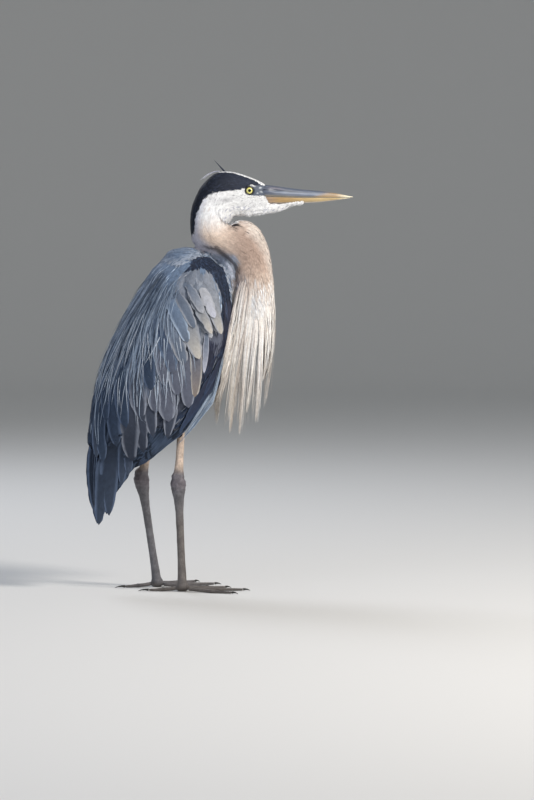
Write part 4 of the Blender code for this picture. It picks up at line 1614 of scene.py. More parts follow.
GROWTH = {
    Zone.FACE: Growth(0.0014, 0.0072, 0.00080, 0.0009, 3, 9, 0.05, 0.07),
    Zone.CROWN: Growth(0.0015, 0.0100, 0.00080, 0.0010, 3, 7, 0.03, 0.05),
    Zone.CAP: Growth(0.0015, 0.0140, 0.00085, 0.0011, 3, 6, 0.12, 0.18),
    Zone.CHIN: Growth(0.0016, 0.0105, 0.00080, 0.0022, 3, 12, 0.05, 0.10),
    Zone.NECK: Growth(0.0016, 0.0150, 0.00090, 0.0014, 3, 7, 0.03, 0.12),
    Zone.THROAT: Growth(0.0016, 0.0190, 0.00090, 0.0018, 3, 7, 0.05, 0.20),
    Zone.BREAST: Growth(0.0020, 0.0300, 0.00110, 0.0030, 4, 6, 0.05, 0.35),
    Zone.SHOULDER: Growth(0.0021, 0.0160, 0.00120, 0.0020, 3, 8, 0.05, 0.20),
    Zone.BACK: Growth(0.0027, 0.0380, 0.00130, 0.0026, 4, 6, 0.07, 0.07),
    Zone.EPAULET: Growth(0.0015, 0.0095, 0.00100, 0.0010, 3, 4, 0.10, 0.25),
    Zone.COVERT: Growth(0.0024, 0.0200, 0.00150, 0.0018, 3, 9, 0.06, 0.10),
    Zone.WING: Growth(0.0042, 0.0260, 0.00240, 0.0009, 3, 5, 0.06, 0.12),
    Zone.BELLY: Growth(0.0028, 0.0380, 0.00150, 0.0030, 4, 7, 0.14, 0.22),
    Zone.THIGH: Growth(0.0021, 0.0130, 0.00110, 0.0020, 3, 9, 0.10, 0.30),
    Zone.VENT: Growth(0.0034, 0.0240, 0.00180, 0.0030, 3, 10, 0.08, 0.3),
}


@dataclass
class Coat:
    """The small feathers of the whole body, in closed thin blades that follow the lie."""

    skin: Skin
    finish: Material
    seed: int = 5

    def __post_init__(self) -> None:
        """Keeps the map and a seeded source of chance at hand."""
        self.map = self.skin.map
        self.rng = np.random.default_rng(self.seed)

    def comb(
        self, starts: Array, triangles: Array, lengths: Array, steps: int, turn: Array
    ) -> tuple[Array, Array]:
        """Walks from each root along the lie of the feathers, keeping to the skin.

        Args:
            starts: the roots, on the skin.
            triangles: the skin's triangle at each root.
            lengths: how far each one goes.
            steps: in how many steps.
            turn: how far each turns from the lie, in radians.

        Returns:
            Points and normals, each feathers x (steps + 1) x 3.
        """
        surface = self.skin.surface
        p, index = starts, triangles
        normal = surface.normals[index]
        points, normals = [p], [normal]
        stride = (lengths / steps)[:, None]
        for _ in range(steps):
            heading = self.map.lie(self.map.own(p), self.skin.part[index])
            heading = flat(heading, normal)
            across = np.cross(heading, normal)
            heading = heading * np.cos(turn)[:, None] + across * np.sin(turn)[:, None]
            p, normal, index = surface.nearest(p + heading * stride)
            points.append(p)
            normals.append(normal)
        return np.stack(points, 1), np.stack(normals, 1)

    def blades(
        self, spine: Array, up: Array, half_width: Array, profile: tuple[float, ...], tint: Array,
        rim: Array, bake: Array, thickness: float = 0.16
    ) -> Bodies:
        """Thin four-sided blades along given lines.

        Args:
            spine: the lines, blades x points x 3, root first.
            up: the way that each point's upper side faces.
            half_width: of each blade at its widest.
            profile: the width at each inner point, as a share of the widest.
            tint: each blade's colour at each point of its line.
            rim: each blade's edge colour at each point.
            bake: each root's place on the bake map.
            thickness: half of it, as a share of the half width.

        Returns:
            The blades.
        """
        along = unit(np.gradient(spine, axis=1))
        side = unit(np.cross(along, up))
        rise = unit(np.cross(side, along))
        inner = slice(1, -1)
        w = half_width[:, None, None] * np.array(profile)[None, :, None]
        h = np.maximum(w * thickness, LEAST_BLADE)
        s, u, p = side[:, inner], rise[:, inner], spine[:, inner]
        rings = np.stack([p - s * w, p + u * h, p + s * w, p - u * h], 2)
        ring = np.array([0, 0.5, 1, 0.5])
        return Bodies.from_rings(spine, spine[:, [0, -1]], rings, ring, (tint, rim), bake)

    def grow(self, zone: Zone) -> Bodies:
        """Grows the feathers of one tract.

        Args:
            zone: the tract.

        Returns:
            Its feathers.
        """
        growth = GROWTH[zone]
        rng = self.rng
        roots, index, own, part, bake = self.skin.roots(self.skin.zone == zone, growth.spacing, rng)
        lengths, width, lift = self.sizes(zone, growth, own)
        turn = np.radians(growth.ruffle) * rng.normal(0, 0.6, len(roots))
        spine, normals = self.comb(roots, index, lengths, growth.steps, turn)
        share = np.linspace(0, 1, growth.steps + 1)
        height = -SINK + (lift[:, None] + SINK) * share[None] ** 0.8
        height[:, -1] *= rng.uniform(0.75, 1.1, len(roots))
        spine = spine + normals * height[:, :, None]
        profile = np.interp(share[1:-1], [0.0, 0.35, 0.75, 1.0], [0.5, 1.0, 0.8, 0.2])
        tint, rim = self.painted(zone, growth, own, part, len(share))
        return self.blades(spine, normals, width, tuple(profile), tint, rim, bake)

    def sizes(self, zone: Zone, growth: Growth, q: Array) -> tuple[Array, Array, Array]:
        """Lengths, half widths and lifts of a tract's feathers, which change over it.

        Args:
            zone: the tract.
            growth: how it grows.
            q: the roots in the bird's own frame.

        Returns:
            A length, a half width and a lift for each feather.
        """
        rng = self.rng
        lengths = growth.length * rng.uniform(0.75, 1.2, len(q))
        width = growth.half_width * rng.uniform(0.8, 1.2, len(q))
        lift = growth.lift * rng.uniform(0.7, 1.15, len(q))
        if zone in (Zone.FACE, Zone.CAP, Zone.CROWN):
            near = ramp(q[:, 0], 0.075, 0.135)
            lengths *= 1 - 0.45 * near
            width *= 1 - 0.2 * near
            lift *= 1 - 0.4 * near
        if zone == Zone.CHIN:
            lengths *= 1 - 0.45 * ramp(q[:, 0], 0.165, 0.205)
            lift *= 1 + 0.8 * ramp(-q[:, 2], -0.648, -0.638)
        if zone == Zone.THROAT:
            lengths *= 1 + 0.4 * ramp(-q[:, 2], -0.60, -0.55)
        if zone in (Zone.SHOULDER, Zone.BACK):
            edge = self.map.distance(q[:, 0], q[:, 2], self.map.crescent)
            lengths *= 1 - 0.6 * ramp(-edge, -0.016, -0.003) * ramp(q[:, 2], 0.530, 0.540)
        return lengths, width, lift

    def painted(self, zone: Zone, growth: Growth, q: Array, part: Array, size: int) -> tuple[Array, Array]:
        """Colours along each feather of a tract, and along its edges.

        Args:
            zone: the tract.
            growth: how it grows.
            q: the roots in the bird's own frame.
            part: the number of each root's body part.
            size: how many points run along a feather.

        Returns:
            Two arrays of feathers x size x 3.
        """
        rng = self.rng
        main, second = self.map.dyes(q, part, np.full(len(q), int(zone)))
        chance = growth.second + 0 * q[:, 0]
        if zone == Zone.BELLY:
            chance = chance + 0.2 * wobble(q, 0.03)
        takes = (rng.random(len(q)) < chance)[:, None]
        base = np.where(takes, second, main)
        base = base * (1 + growth.speckle * rng.normal(0, 1, (len(q), 1)))
        tip = base * 1.06
        if zone in (Zone.THROAT, Zone.NECK):
            _, back, _ = self.map.on_neck(q, part)
            crease = hump(q[:, 0], q[:, 2], (0.086, 0.627), (0.015, 0.010)) * (zone == Zone.THROAT)
            front = ramp(-back, 0.86, 0.97) * 0.10 * (zone == Zone.THROAT)
            black = rng.random(len(q)) < np.maximum(crease * 0.6, front * 0.5)
            base = np.where(black[:, None], Dye.JET.rgb, base)
            tip = np.where(black[:, None], Dye.JET.rgb, tip)
        if zone == Zone.BREAST:
            tip = mix(base, Dye.WHITE, 0.6 * ramp(-q[:, 2], -0.550, -0.490))
        if zone in (Zone.WING, Zone.COVERT):
            tip = mix(base, second, 0.25)
        share = np.linspace(0, 1, size)[None, :, None]
        tint = base[:, None] * (1 - share) + tip[:, None] * share
        edge = {Zone.WING: 1.35, Zone.COVERT: 1.18, Zone.BACK: 1.25, Zone.CAP: 1.3}.get(zone, 1.08)
        return tint, tint * edge

    def build(self) -> None:
        """Grows and shows every tract."""
        for zone in GROWTH:
            show_bodies(f"coat_{zone.name.lower()}", self.grow(zone), self.finish)


@dataclass(frozen=True)
class Vane:
    """One large feather, laid by its tip on the bird's side."""

    tip: tuple[float, float]  # X and Z
    angle: float  # of its shaft from straight down, plus towards the bill, in degrees
    length: float
    half_width: float
    lift: float  # height of its tip over the skin
    dye: Dye
    edge: Dye
    tip_dye: Dye
    bend: float = 0.0  # how far the shaft turns from root to tip, in degrees
    point: float = 0.4  # 0 for a round end, 1 for a sharp one


def wing_vanes() -> list[Vane]:
    """The large feathers of the folded wing, the lowest layer first.

    Returns:
        The feathers.
    """
    dark = (Dye.TERTIAL, Dye.TERTIAL_RIM, Dye.TERTIAL)
    deep = (Dye.DUSK, Dye.SLATE, Dye.INK_BLUE)
    mauve = (Dye.MAUVE_GREY, Dye.TERTIAL_RIM, Dye.MAUVE_GREY)
    rear = (Dye.SLATE_DEEP, Dye.TAIL_RIM_SHADED, Dye.SLATE_DEEP)
    tail = (Dye.TAIL_SHADED, Dye.TAIL_RIM_SHADED, Dye.TAIL_TIP)
    grey = (Dye.COVERT, Dye.COVERT_PALE, Dye.COVERT)
    cream = (Dye.COVERT, Dye.COVERT_PALE, Dye.COVERT_TIP)
    rows = (
        # tip X and Z, angle, length, half width, colours, bend, point; each lies over those before
        (0.030, 0.330, -26, 0.072, 0.0045, deep, 0, 0.9),
        (0.018, 0.304, -30, 0.085, 0.0050, deep, 0, 0.9),
        (0.004, 0.286, -33, 0.095, 0.0055, deep, 0, 0.9),
        (-0.010, 0.270, -30, 0.120, 0.0075, deep, 0, 0.8),
        (-0.030, 0.262, -6, 0.120, 0.0130, dark, 0, 0.5),
        (-0.053, 0.264, 12, 0.170, 0.0150, dark, 24, 0.5),
        (-0.066, 0.238, 13, 0.180, 0.0160, dark, 28, 0.4),
        (-0.140, 0.113, -4, 0.160, 0.0165, tail, 8, 0.75),
        (-0.1240, 0.129, 1, 0.150, 0.0170, tail, 8, 0.7),
        (-0.1455, 0.228, 3, 0.120, 0.0095, tail, 22, 0.6),
        (-0.104, 0.180, -6, 0.130, 0.0130, tail, 4, 0.75),
        (-0.093, 0.198, -4, 0.130, 0.0130, tail, 6, 0.7),
        (-0.1425, 0.246, 6, 0.110, 0.0048, (Dye.SLATE_DEEP, Dye.SILVER, Dye.SLATE_DEEP), 20, 0.8),
        (-0.134, 0.221, 9, 0.130, 0.0110, rear, 24, 0.45),
        (-0.083, 0.222, 14, 0.180, 0.0200, dark, 30, 0.35),
        (-0.113, 0.249, 10, 0.140, 0.0135, rear, 26, 0.45),
        (-0.128, 0.290, 5, 0.110, 0.0115, rear, 22, 0.5),
        (-0.075, 0.296, 10, 0.130, 0.0150, dark, 24, 0.35),
        (-0.100, 0.282, 9, 0.130, 0.0140, rear, 24, 0.4),
        (-0.050, 0.306, 9, 0.110, 0.0145, mauve, 16, 0.25),
        (0.029, 0.372, -5, 0.070, 0.0058, (Dye.COVERT, Dye.LAVENDER, Dye.LAVENDER), 0, 0.5),
        (0.014, 0.332, -4, 0.095, 0.0115, (Dye.MAUVE_GREY, Dye.COVERT_TIP, Dye.TAUPE), -6, 0.4),
        (-0.029, 0.291, 8, 0.110, 0.0165, mauve, 12, 0.2),
        (0.004, 0.314, 3, 0.110, 0.0140, mauve, -5, 0.2),
        (-0.014, 0.335, 7, 0.100, 0.0130, mauve, -4, 0.25),
        (-0.036, 0.352, 9, 0.090, 0.0120, mauve, 8, 0.3),
        (-0.060, 0.345, 7, 0.090, 0.0120, rear, 16, 0.4),
        (-0.022, 0.372, 14, 0.095, 0.0130, (Dye.SLATE, Dye.BLUE_GREY, Dye.MAUVE_GREY), 0, 0.35),
        (-0.004, 0.388, 18, 0.095, 0.0135, grey, -3, 0.35),
        (0.020, 0.396, 17, 0.105, 0.0160, cream, -5, 0.5),
        (0.001, 0.424, 21, 0.085, 0.0115, (Dye.BLUE_GREY, Dye.SILVER, Dye.COVERT), 0, 0.4),
        (0.041, 0.438, 25, 0.080, 0.0095, cream, -4, 0.45),
        (0.060, 0.437, 19, 0.085, 0.0115, cream, -8, 0.4),
        (0.012, 0.448, 24, 0.065, 0.0095, grey, 0, 0.35),
        (0.046, 0.464, 20, 0.055, 0.0095, (Dye.COVERT_PALE, Dye.COVERT_PALE, Dye.LAVENDER), 0, 0.3),
        (0.027, 0.472, 26, 0.055, 0.0085, (Dye.COVERT, Dye.COVERT_PALE, Dye.COVERT_PALE), 0, 0.35),
    )
    return [
        Vane((x, z), angle, length, half, 0.0026 + 0.00014 * i, *dyes, bend, point)
        for i, (x, z, angle, length, half, dyes, bend, point) in enumerate(rows)
    ]


@dataclass
class Plumes:
    """The large feathers: wing coverts and tertials, primaries, tail, back, breast and crest."""

    coat: Coat
    finish: Material
    across: int = 7  # points across a vane's upper side
    rows: int = 16  # rings along a vane
    # The wing's lower edge and the upper edge of the fan of its flight feathers, X and Z.
    wing_edge: tuple = (
        (0.056, 0.395), (0.044, 0.340), (0.014, 0.285), (-0.028, 0.245), (-0.066, 0.209), (-0.107, 0.161)
    )
    fan_edge: tuple = (
        (-0.050, 0.370), (-0.074, 0.325), (-0.096, 0.285), (-0.110, 0.248), (-0.119, 0.208), (-0.119, 0.170)
    )
    # The folded tail: Z, X of its ridge, X of its free edge and half its width.
    tail_shape: tuple = (
        (0.111, -0.139, -0.133, 0.008), (0.129, -0.148, -0.123, 0.014), (0.153, -0.154, -0.111, 0.019),
        (0.187, -0.1565, -0.1045, 0.021), (0.221, -0.156, -0.102, 0.020), (0.252, -0.1525, -0.104, 0.016),
        (0.290, -0.1470, -0.1100, 0.012),
    )
    # Where the long plumes of the back take root, X and Z.
    back_outline: tuple = (
        (-0.030, 0.550), (0.004, 0.530), (0.012, 0.475), (0.002, 0.435), (-0.035, 0.400), (-0.090, 0.395),
        (-0.125, 0.400), (-0.110, 0.445), (-0.070, 0.515),
    )
    # The chin's lower rim, X and Z, and half its width there.
    chin_rim: tuple = (
        (0.118, 0.640), (0.150, 0.643), (0.167, 0.650), (0.179, 0.6535), (0.201, 0.6565), (0.214, 0.658)
    )
    chin_half: tuple = ((0.118, 0.009), (0.150, 0.0085), (0.180, 0.0075), (0.214, 0.0058))
    # Tips of the breast's locks, X and Z, from the back one to the front one.
    breast_tips: tuple = (
        (0.050, 0.300), (0.062, 0.276), (0.080, 0.264), (0.096, 0.258), (0.108, 0.255), (0.121, 0.276),
        (0.134, 0.272), (0.143, 0.300), (0.149, 0.343),
    )

    def __post_init__(self) -> None:
        """Keeps the skin, the map and chance at hand."""
        self.skin, self.map = self.coat.skin, self.coat.map
        self.rng = np.random.default_rng(11)
        self.shells = {
            name: Shell(self.skin.surface, self.skin.part >= len(FLESH), self.map.origin, sign)
            for name, sign in SIDES.items()
        }
        for shell in self.shells.values():
            shell.cover(np.array(self.tail_shape))

    def at(self, x: Array | float, y: Array | float, z: Array | float) -> Array:
        """Places of the bird's own frame in the model's frame."""
        return np.stack(np.broadcast_arrays(x, y, z), -1) + self.map.origin

    def gradient(self, first: Array, last: Array, size: int, bend: float = 2.0) -> Array:
        """Colours along feathers from root to tip; a higher bend keeps the first longer."""
        share = np.linspace(0, 1, size)[None, :, None] ** bend
        return first[:, None] * (1 - share) + last[:, None] * share

    def vane_bodies(
        self, spine: Array, up: Array, half_width: Array, point: Array, tint: Array, rim: Array,
        bake: Array, height: Array | None = None, across: int | None = None, shell: Shell | None = None
    ) -> Bodies:
        """Broad feathers: a thin curved vane on each side of a raised shaft.

        Args:
            spine: shafts, feathers x points x 3, root first.
            up: the way that each shaft point's upper side looks.
            half_width: of each feather at its widest.
            point: 0 for a round end, 1 for a sharp one.
            tint: colour at each point of the shaft.
            rim: edge colour at each point of the shaft.
            bake: each root's place on the bake map.
            height: of each shaft point over the skin, for feathers that drape over it.
            across: points across the upper side, if not the usual number.
            shell: the wing that they drape over, in place of the skin itself.

        Returns:
            The feathers.
        """
        count, size = spine.shape[:2]
        inner = slice(1, size - 1)
        share = np.linspace(0, 1, size)[inner]
        side = unit(np.cross(unit(np.gradient(spine, axis=1)), up))
        round_end = np.sqrt(np.clip(1 - np.clip((share - 0.72) / 0.285, 0, 1) ** 2, 0, 1))
        sharp_end = 1 - np.clip((share - 0.45) / 0.57, 0, 1) ** 1.5
        body = 0.55 + 0.45 * np.sin(np.clip(share / 0.5, 0, 1) * math.pi / 2)
        blunt = round_end[None] * (1 - point[:, None]) + sharp_end[None] * point[:, None]
        width = half_width[:, None] * body[None] * blunt
        steps = np.linspace(-1, 1, across or self.across)
        fray = 1 + 0.035 * self.rng.normal(0, 1, (count, size - 2, 2))
        fray = fray - 0.22 * (self.rng.random((count, size - 2, 2)) < 0.07)
        edge = np.where(steps < 0, fray[:, :, :1], fray[:, :, 1:])
        sideways = steps * np.where(np.abs(steps) > 0.99, edge, 1.0) * width[:, :, None]
        spots = spine[:, inner, None] + side[:, inner, None] * sideways[..., None]
        normals = np.broadcast_to(up[:, inner, None], spots.shape)
        ends = spine[:, [0, -1]]
        if shell is not None:
            spots, normals = self.on_shell(shell, spots, height[:, inner, None] - 0.0006 * np.abs(steps))
            ends, _ = self.on_shell(shell, ends, height[:, [0, -1]])
        elif height is not None:
            spots, normals, _ = self.skin.surface.nearest(spots)
            reach = height[:, inner, None] - 0.0006 * np.abs(steps)
            spots = spots + normals * reach[..., None]
            ends, end_normals, _ = self.skin.surface.nearest(ends)
            ends = ends + end_normals * height[:, [0, -1], None]
        else:
            spots = spots - normals * (0.10 * np.abs(sideways))[..., None]
        shaft = 0.00035 * (1 - share)[None, :, None] * (np.abs(steps) < 0.01)
        top = spots + normals * (HALF_VANE + shaft)[..., None]
        low = (spots - normals * HALF_VANE)[:, :, -2:0:-1]
        over = (steps + 1) / 2
        ring = np.concatenate([over, over[-2:0:-1]])
        return Bodies.from_rings(spine, ends, np.concatenate([top, low], 2), ring, (tint, rim), bake)

    def on_shell(self, shell: Shell, spots: Array, height: Array) -> tuple[Array, Array]:
        """Points moved along Y to a height over a wing, and their normals.

        Args:
            shell: the wing's height.
            spots: the points.
            height: over the wing, for each point.

        Returns:
            The moved points and the normals.
        """
        own = self.map.own(spots)
        y, normals = shell.at(own[..., 0], own[..., 2])
        moved = self.at(own[..., 0], shell.sign * y, own[..., 2])
        return moved + normals * height[..., None], normals

    def tract(self, zone: Zone, spacing: float, length: float, half: float, lift: float) -> None:
        """Small overlapping vanes over a tract, like scales.

        Args:
            zone: the tract.
            spacing: between roots.
            length: of a vane.
            half: its half width.
            lift: of its tip over the coat.
        """
        rng, skin = self.rng, self.skin
        above = skin.middles[:, 2] > 0.300
        roots, index, own, part, bake = skin.roots((skin.zone == zone) & above, spacing, rng)
        count, size = len(roots), 7
        turn = np.radians(rng.normal(0, 7, count))
        lengths = length * rng.uniform(0.8, 1.2, count)
        spine, up = self.coat.comb(roots, index, lengths, size - 1, turn)
        main, second = self.map.dyes(own, part, np.full(count, int(zone)))
        base = mix(main, second, rng.random(count) * 0.35) * rng.uniform(0.88, 1.12, (count, 1))
        share = np.linspace(0, 1, size)
        height = 0.0003 + lift * rng.uniform(0.6, 1.1, (count, 1)) * share[None] ** 0.8
        bodies = self.vane_bodies(
            spine, up, half * rng.uniform(0.8, 1.15, count), rng.uniform(0.2, 0.6, count),
            self.gradient(base * 0.92, base, size), self.gradient(base, base * 1.22, size), bake, height, 5
        )
        show_bodies(f"scales_{zone.name.lower()}", bodies, self.finish)

    def wing(self) -> None:
        """The coverts and tertials of both wings."""
        vanes = wing_vanes()
        size = self.rows + 2
        share = np.linspace(0, 1, size)
        numbers = ("length", "angle", "bend", "lift", "half_width", "point")
        length, angle, bend, lift, half, point = (np.array([getattr(v, k) for v in vanes]) for k in numbers)
        angle, bend = np.radians(angle), np.radians(bend)
        base, end, edge = (
            np.array([getattr(v, kind).rgb for v in vanes]) for kind in ("dye", "tip_dye", "edge")
        )
        for name, sign in SIDES.items():
            shell = self.shells[name]
            x, z = (np.array([v.tip[k] for v in vanes]) for k in (0, 1))
            walk = []
            for k in range(size):
                walk.append(np.stack([x, z], 1))
                turned = angle - bend * share[k]
                x = x - np.sin(turned) * length / (size - 1)
                z = z + np.cos(turned) * length / (size - 1)
            line = np.stack(walk[::-1], 1)
            y, up = shell.at(line[..., 0], line[..., 1])
            spine = self.at(line[..., 0], sign * y, line[..., 1])
            _, _, index = self.skin.surface.nearest(spine[:, 0])
            height = 0.0002 + (lift[:, None] + 0.0010) * share[None] ** 0.45
            bodies = self.vane_bodies(
                spine, up, half, point,
                self.gradient(base, end, size), self.gradient((base + edge) / 2, edge, size),
                self.map.unwrap(self.map.own(spine[:, 0]), self.skin.part[index]), height, None, shell,
            )
            show_bodies(f"wing_vanes_{name}", bodies, self.finish)

    def flight(self) -> None:
        """The fan of flight feathers along the lower edge of each folded wing."""
        count, size = 19, self.rows + 2
        low, high = curve(self.wing_edge, 60), curve(self.fan_edge, 60)
        u = np.linspace(0, 1, count)
        last = np.where(u < 0.4, 0.74 + 0.65 * u, 1.0 - 0.05 * (u - 0.4))
        share = np.linspace(0.10, 1, size)
        for name, sign in SIDES.items():
            spines = []
            for i in range(count):
                at = (0.10 + (last[i] - 0.10) * (share - 0.10) / 0.9) * 59
                lines = [
                    np.stack([np.interp(at, np.arange(60), edge[:, k]) for k in (0, 1)], 1)
                    for edge in (low, high)
                ]
                line = lines[0] + (lines[1] - lines[0]) * (0.06 + 0.94 * u[i])
                y, _ = self.shells[name].at(line[:, 0], line[:, 1])
                spines.append(self.at(line[:, 0], sign * y, line[:, 1]))
            spine = np.array(spines)
            up = np.tile(np.array([0.0, sign, 0.0]), (count, size, 1))
            height = np.tile(0.0004 * np.arange(count)[:, None] - 0.0070, (1, size))
            base = mix(Dye.PRIMARY, Dye.SLATE_DEEP, u * 0.5)
            base = base * self.rng.uniform(0.85, 1.2, (count, 1))
            rim = mix(Dye.PRIMARY_RIM, Dye.SLATE, u)
            bake = np.stack([np.full(count, 0.90), 0.5 + sign * 0.2 + 0.01 * np.arange(count)], 1)
            bodies = self.vane_bodies(
                spine, up, 0.0062 + 0.0050 * u, np.full(count, 0.7),
                self.gradient(base, base * 0.85, size), self.gradient(rim, rim, size), bake,
                height, None, self.shells[name],
            )
            pieces = show_bodies(
                f"flight_feathers_{name}", bodies, self.finish
            )
            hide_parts(f"primaries_{name}")

    def tail(self) -> None:
        """The folded tail: long feathers that overlap from the ridge down both sides."""
        low, high = (self.map.own(np.array(v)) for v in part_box("tail"))
        count, size = 12, self.rows + 2
        share = np.linspace(0, 1, size)
        table = np.array(self.tail_shape)
        spines, ups = [], []
        for u in np.linspace(-1, 1, count):
            reach = 1 - 0.20 * (1 - abs(u)) ** 1.2 - 0.06 * abs(u) ** 6
            z = high[2] + (low[2] + 0.001 - high[2]) * share * reach
            ridge, edge, half = (np.interp(z, table[:, 0], table[:, k]) for k in (1, 2, 3))
            x = ridge + 0.007 + (edge - ridge - 0.018) * (1 - abs(u)) ** 1.1
            y = math.copysign(1.0, u) * (half * (0.20 + 0.45 * abs(u)) - 0.001)
            spines.append(self.at(x, y, z))
            ups.append(np.tile(unit(np.array([-0.5 * abs(u), math.copysign(1.0, u), 0.05])), (size, 1)))
        for y in (-0.010, 0.010, -0.005, 0.005, 0.0):  # the middle ones close the ridge
            z = high[2] + 0.030 + (low[2] + 0.004 + abs(y) - high[2] - 0.030) * share
            ridge = np.interp(z, table[:, 0], table[:, 1])
            spines.append(self.at(ridge + 0.0055 + 0.25 * abs(y) - 0.004 * share, y, z))
            ups.append(np.tile(unit(np.array([-1.0, 30.0 * y, 0.05])), (size, 1)))
        count = len(spines)
        base = np.tile(Dye.TAIL_SHADED.rgb, (count, 1)) * self.rng.uniform(0.85, 1.15, (count, 1))
        rim = np.tile(Dye.TAIL_RIM_SHADED.rgb, (count, 1))
        bake = np.stack([np.full(count, 0.885), 0.4 + 0.02 * np.arange(count)], 1)
        bodies = self.vane_bodies(
            np.array(spines), np.array(ups), np.full(count, 0.0125), np.full(count, 0.45),
            self.gradient(base, mix(base, Dye.LAVENDER, 0.45), size, 12.0),
            self.gradient(rim, rim, size), bake,
        )
        pieces = show_bodies("tail_feathers", bodies, self.finish)
        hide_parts("tail")

    def strands(
        self, name: str, spine: Array, up: Array, width: Array, tint: Array, bake: Array,
        shape: tuple[float, ...] = (0.6, 1.0, 0.85, 0.45, 0.2)
    ) -> list[bpy.types.Object]:
        """Shows narrow plumes along given lines; shape is their width from root to tip.

        Args:
            name: the piece's name.
            spine: the lines, plumes x points x 3.
            up: outward direction at each point.
            width: half width of each plume at its widest.
            tint: the colour at each point.
            bake: each root's place on the bake map.
            shape: the width from root to tip, as a share.

        Returns:
            The pieces.
        """
        size = spine.shape[1]
        share = np.linspace(0, 1, size)[1:-1]
        profile = np.interp(share, np.linspace(0, 1, len(shape)), shape)
        bodies = self.coat.blades(spine, up, width, tuple(profile), tint, tint * 1.12, bake, 0.33)
        return show_bodies(name, bodies, self.finish)

    def combed(
        self, chosen: Array, spacing: float, lengths: tuple[float, float], steps: int, spread: float,
        lift: float,
    ) -> tuple[Array, Array, Array, Array]:
        """Lines that start on chosen skin and follow the lie, rising over the coat.

        Args:
            chosen: the skin's triangles that may bear them.
            spacing: between their roots.
            lengths: the shortest and the longest.
            steps: of each line.
            spread: how far they turn from the lie, in degrees.
            lift: the height of their tips.

        Returns:
            Lines, their upper sides, the roots in the bird's frame and their places on the bake map.
        """
        rng = self.rng
        roots, index, own, _, bake = self.skin.roots(chosen, spacing, rng)
        count = len(roots)
        turn = np.radians(rng.normal(0, spread, count))
        spine, up = self.coat.comb(roots, index, rng.uniform(*lengths, count), steps, turn)
        share = np.linspace(0, 1, steps + 1)
        height = 0.0012 + lift * share[None] ** 0.8 * rng.uniform(0.6, 1.25, (count, 1))
        return spine + up * height[..., None], up, own, bake

    def back(self) -> None:
        """The long narrow plumes that fall from the back over the wings, slate and near white."""
        skin, rng = self.skin, self.rng
        q = skin.middles
        chosen = BodyMap.inside(q[:, 0], q[:, 2], self.back_outline) & (skin.zone != Zone.COVERT)
        for name, spacing, lengths, spread, lift, pale, width in (
            ("back_plumes", 0.0058, (0.050, 0.095), 5, 0.0032, (0.0, 0.7), 0.0011),
            ("back_plumes_white", 0.0125, (0.080, 0.135), 7, 0.0052, (0.65, 1.0), 0.0008),
        ):
            here = chosen & ((q[:, 2] < 0.515) | (pale[0] < 0.5))
            spine, up, own, bake = self.combed(here, spacing, lengths, 10, spread, lift)
            count = len(spine)
            bird, share = self.map.own(spine), np.linspace(0, 1, 11)[None]
            aside = ramp(np.abs(own[:, 1:2]), 0.010, 0.020)
            over = (0.0052 + 1.2 * (lift - 0.0032)) * share**0.7 * rng.uniform(0.8, 1.15, (count, 1))
            over = over + 0.0012
            for side, sign in SIDES.items():
                y, _ = self.shells[side].at(bird[..., 0], bird[..., 2])
                rise = np.maximum(y + over - bird[..., 1] * sign, 0) * aside * (own[:, 1:2] * sign > 0)
                bird[..., 1] += sign * rise * ramp(share, 0.0, 0.3)
            spine = eased(bird, 3) + self.map.origin  # no kinks where one leaves the mantle
            base = mix(Dye.SLATE, Dye.SILVER, rng.uniform(*pale, count))
            if pale[0] > 0.5:
                base = mix(base, Dye.WHITE, rng.uniform(0.0, 0.45, count))
            tint = self.gradient(base * 0.75, base, 11, 0.6)
            self.strands(
                name, spine, up, width * rng.uniform(0.8, 1.2, count), tint, bake,
            )

    def hanging(self, name: str, chosen: Array, spacing: float, dyes: tuple[Dye, Dye, Dye]) -> None:
        """Loose blades from the flank that hang back over the thigh, dark with pale streaks.

        Args:
            name: the piece's name.
            chosen: whether each triangle of the skin is taken.
            spacing: between roots.
            dyes: two dark colours to mix, and the pale streaks' one.
        """
        skin, rng = self.skin, self.rng
        roots, index, own, _, bake = skin.roots(chosen, spacing, rng)
        count, size = len(roots), 8
        angle = np.radians(rng.normal(-47, 4, count))
        heading = np.stack([np.sin(angle), 0 * angle, -np.cos(angle)], 1)
        normals = skin.surface.normals[index]
        heading = flat(heading, normals)
        share = np.linspace(0, 1, size)[None, :, None]
        reach = np.linspace(0, 0.074, 32)
        path = own[:, None] + heading[:, None] * reach[None, :, None]
        clear = path[..., 2] > self.map.skirt(path[..., 0]) + 0.0015
        room = reach[np.argmin(clear, axis=1)] + 0.074 * clear.all(axis=1)
        length = room * rng.uniform(0.7, 1.0, count) + 0.002
        spine, up = self.coat.comb(roots, index, length, size - 1, angle + math.radians(47))
        stride = np.linalg.norm(np.diff(spine, axis=1), axis=2).max(axis=1)
        whole = stride < 1.5 * length / (size - 1)  # the others would leap from the belly to the wing
        spine, up, own, bake = (v[whole] for v in (spine, up, own, bake))
        count = len(own)
        spine = eased(spine, 2) + up * (0.0034 * share**0.6 - 0.0004)
        takes = rng.random(count)
        base = mix(dyes[0], dyes[1], rng.random(count))
        pale = 0.10 + 0.30 * ramp(self.map.skirt(own[:, 0]) - own[:, 2], -0.016, -0.004)
        base = np.where((takes < pale)[:, None], dyes[2].rgb * rng.uniform(0.5, 1, (count, 1)), base)
        width = rng.uniform(0.0009, 0.0015, count)
        self.strands(name, spine, up, width, self.gradient(base, base, size), bake)

